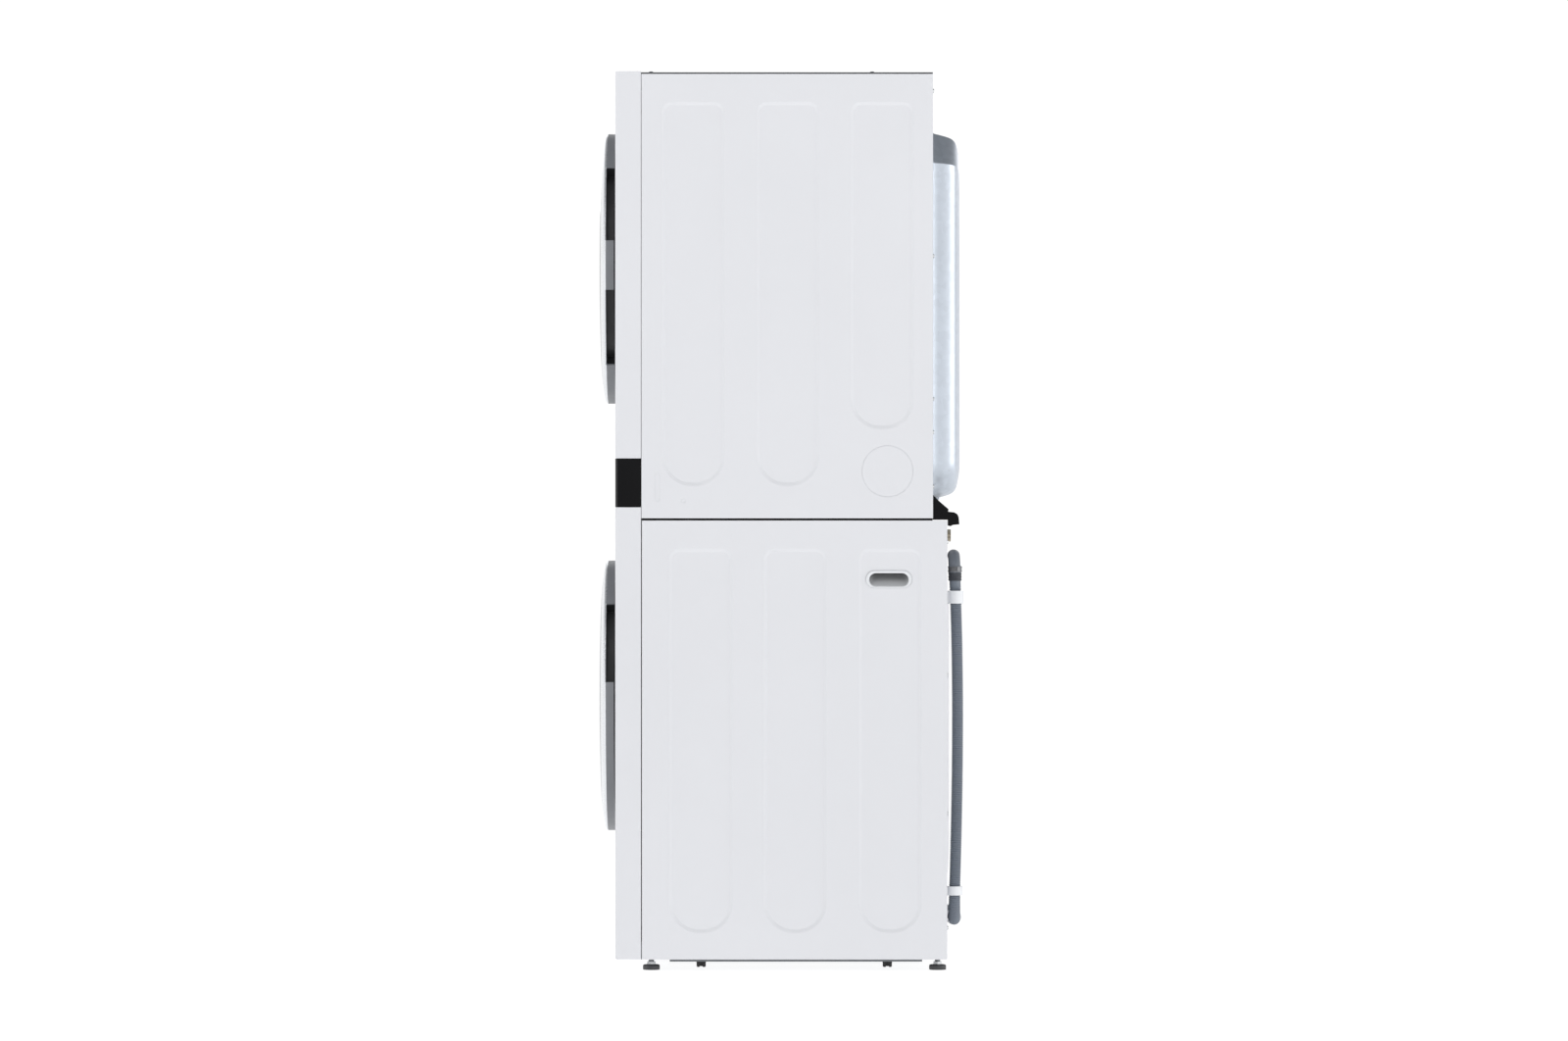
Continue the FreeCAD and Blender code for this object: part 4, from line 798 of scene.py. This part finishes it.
# ------------------------------------------------------------------ transit bumpers under the base: ribbed rubber blocks
def bumper(cx, cy, z0, z1):
    bm = bmesh.new()

    def block(x0, x1, y0, y1, za, zb, off=0.0012):
        r = bmesh.ops.create_cube(bm, size=1.0)
        for v in r["verts"]:
            v.co = Vector(((x0 + x1) / 2 + v.co.x * (x1 - x0), (y0 + y1) / 2 + v.co.y * (y1 - y0), (za + zb) / 2 + v.co.z * (zb - za))) * S
        edges = {e for v in r["verts"] for e in v.link_edges}
        bmesh.ops.bevel(bm, geom=list(edges), offset=off, segments=3, affect="EDGES")

    h = z1 - z0
    block(cx - 10, cx + 10, cy - 10, cy + 10, z1 - 3.0, z1, 0.0006)
    for ax in (-1, 1):
        for ay in (-1, 1):
            block(cx + ax * 6 - 3.6, cx + ax * 6 + 3.6, cy + ay * 6 - 3.6, cy + ay * 6 + 3.6, z0, z1 - 2.0)
    block(cx - 9.4, cx + 9.4, cy - 1.6, cy + 1.6, z0 + 1.6, z1 - 2.0, 0.0005)
    block(cx - 1.6, cx + 1.6, cy - 9.4, cy + 9.4, z0 + 1.6, z1 - 2.0, 0.0005)
    me = bpy.data.meshes.new("bumper")
    bm.to_mesh(me)
    bm.free()
    me.materials.append(MATS["black_rubber"])
    ob = bpy.data.objects.new("bumper", me)
    scene.collection.objects.link(ob)
    return ob


blo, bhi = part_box("base_bumpers")
parts = [bumper(bx, by, blo.z / S, bhi.z / S) for bx in (blo.x / S + 11.0, bhi.x / S - 11.0) for by in (blo.y / S + 11.0, bhi.y / S - 11.0)]
bumps = join("base_bumpers_ribbed", parts, "cabinet")
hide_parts("base_bumpers")


# ------------------------------------------------------------------ control face: plain lamps, rings and bars, no lettering
YF = -346.0
marks, lamps = [], []


def dot(x, z, r, mat, n=28, sink=0.12):
    return plate("dot", [(x + r * math.cos(2 * math.pi * k / n), z + r * math.sin(2 * math.pi * k / n)) for k in range(n)], YF - sink, 0.2, mat)


def bar(x, z, w, h, mat):
    r = min(w, h) / 2.0
    pts = []
    for cx, cz, a0 in ((x + w / 2 - r, z + h / 2 - r, 0), (x - w / 2 + r, z + h / 2 - r, 90), (x - w / 2 + r, z - h / 2 + r, 180), (x + w / 2 - r, z - h / 2 + r, 270)):
        for k in range(6):
            a = math.radians(a0 + 18 * k)
            pts.append((cx + r * math.cos(a), cz + r * math.sin(a)))
    return plate("bar", pts, YF - 0.12, 0.2, mat)


def ringmark(x, z, r, w, mat, a0=0.0, a1=360.0):
    n = 48
    v3, f3 = [], []
    for k in range(n + 1):
        a = math.radians(a0 + (a1 - a0) * k / n)
        for rr in (r - w / 2, r + w / 2):
            for y in (YF - 0.12, YF + 0.08):
                v3.append((x + rr * math.cos(a), y, z + rr * math.sin(a)))
    for k in range(n):
        p, q = 4 * k, 4 * (k + 1)
        f3 += [(p, q, q + 2, p + 2), (p + 1, p + 3, q + 3, q + 1), (p, p + 1, q + 1, q), (p + 2, q + 2, q + 3, p + 3)]
    f3 += [(0, 2, 3, 1), (4 * n, 4 * n + 1, 4 * n + 3, 4 * n + 2)]
    return new_mesh("ring", v3, f3, mat, smooth=False)


for zc, side in ((1045.0, 1), (1002.0, -1)):
    W_, B_ = MATS["icon_white"], MATS["icon_blue"]
    # power mark
    marks += [ringmark(-296.0, zc, 5.2, 1.0, W_, 120.0, 420.0), bar(-296.0, zc + 4.2, 1.0, 5.4, W_)]
    # programme lamps
    for k in range(6):
        x = -252.0 + 30.0 * k
        marks += [bar(x, zc - 3.6, 17.0, 1.5, W_)]
        lamps.append(dot(x, zc + 4.4, 1.3, B_ if k == 2 else W_, 20))
    # time bars, plus and minus
    for k, h in enumerate((6.0, 9.0, 12.0, 9.0)):
        lamps.append(bar(-38.0 + 7.0 * k, zc, 2.4, h, B_))
    marks += [bar(14.0, zc, 7.0, 1.2, W_), bar(42.0, zc, 7.0, 1.2, W_), bar(42.0, zc, 1.2, 7.0, W_)]
    # option lamps
    for k in range(5):
        x = 84.0 + 30.0 * k
        marks += [bar(x, zc - 3.6, 15.0, 1.5, W_)]
        lamps.append(dot(x, zc + 4.4, 1.3, W_, 20))
    # start and pause
    marks += [ringmark(284.0, zc, 11.0, 0.9, W_)]
    marks.append(plate("play", [(278.6, zc - 3.6), (283.6, zc), (278.6, zc + 3.6)], YF - 0.12, 0.2, W_))
    marks += [bar(286.6, zc, 1.4, 7.2, W_), bar(290.0, zc, 1.4, 7.2, W_)]
marks.append(bar(0.0, 1023.6, 560.0, 0.5, MATS["icon_white"]))
icons = join("control_marks", marks + lamps, "cabinet")


# ------------------------------------------------------------------ stage, lights and camera
def stage_material():
    b = Build("studio_floor")
    n = b.noise(1.3, 3.0, 0.5)
    b.set(Base_Color=b.mix(b.ramp(n, 0.3, 0.7), (0.46, 0.46, 0.46, 1.0), (0.48, 0.48, 0.48, 1.0)), Roughness=0.75)
    b.bsdf.inputs["Emission Color"].default_value = (1.0, 1.0, 1.0, 1.0)
    b.bsdf.inputs["Emission Strength"].default_value = 0.84
    return b.mat


floor = new_mesh("studio_floor", [(-80000, -80000, 0), (80000, -80000, 0), (80000, 80000, 0), (-80000, 80000, 0)], [(0, 1, 2, 3)],
                 stage_material(), smooth=False)

world = bpy.data.worlds.new("studio")
scene.world = world
world.use_nodes = True
wt = world.node_tree
wt.nodes.clear()
wo = wt.nodes.new("ShaderNodeOutputWorld")
bg = wt.nodes.new("ShaderNodeBackground")
tc = wt.nodes.new("ShaderNodeTexCoord")
sx = wt.nodes.new("ShaderNodeSeparateXYZ")
cr = wt.nodes.new("ShaderNodeValToRGB")
wt.links.new(tc.outputs["Generated"], sx.inputs[0])
wt.links.new(sx.outputs["Z"], cr.inputs["Fac"])
wt.links.new(cr.outputs["Color"], bg.inputs["Color"])
wt.links.new(bg.outputs[0], wo.inputs[0])
els = cr.color_ramp.elements
els[0].position, els[0].color = 0.14, (1.0, 1.0, 1.0, 1.0)
els[1].position, els[1].color = 1.0, (0.15, 0.16, 0.17, 1.0)
for at, v in ((0.30, 0.62), (0.55, 0.26)):
    stop = els.new(at)
    stop.color = (v, v * 1.01, v * 1.03, 1.0)
bg.inputs["Strength"].default_value = 1.06


def softbox(name, loc, target, size, radiance, col=(1, 1, 1)):
    li = bpy.data.lights.new(name, "AREA")
    li.shape = "RECTANGLE"
    li.size, li.size_y = size
    li.energy = radiance * math.pi * size[0] * size[1]
    li.color = col
    ob = bpy.data.objects.new(name, li)
    ob.location = loc
    ob.rotation_euler = (Vector(target) - Vector(loc)).to_track_quat("-Z", "Y").to_euler()
    scene.collection.objects.link(ob)
    return ob


softbox("soft_front", (1.6, -5.6, 2.2), (0.0, 0.0, 0.95), (2.4, 2.6), 1.2)
softbox("soft_rear", (2.0, 5.2, 1.6), (0.0, 0.0, 1.1), (5.0, 3.4), 1.6)
softbox("soft_high", (5.4, -3.4, 6.2), (0.0, 0.0, 0.9), (4.6, 3.6), 2.5)
softbox("soft_far", (-6.0, 0.5, 3.0), (0.0, 0.0, 0.9), (4.0, 2.4), 1.2)

cam_data = bpy.data.cameras.new("camera")
cam_data.sensor_width = 36.0
cam_data.lens = 193.3
cam_data.clip_end = 400.0
cam = bpy.data.objects.new("camera", cam_data)
cam.location = (18.0, 0.008, 0.9446)
cam.rotation_euler = (math.pi / 2, 0.0, math.pi / 2)
scene.collection.objects.link(cam)
scene.camera = cam
scene.view_settings.view_transform = "Standard"
scene.view_settings.look = "None"
scene.view_settings.exposure = 0.0
scene.view_settings.gamma = 1.0
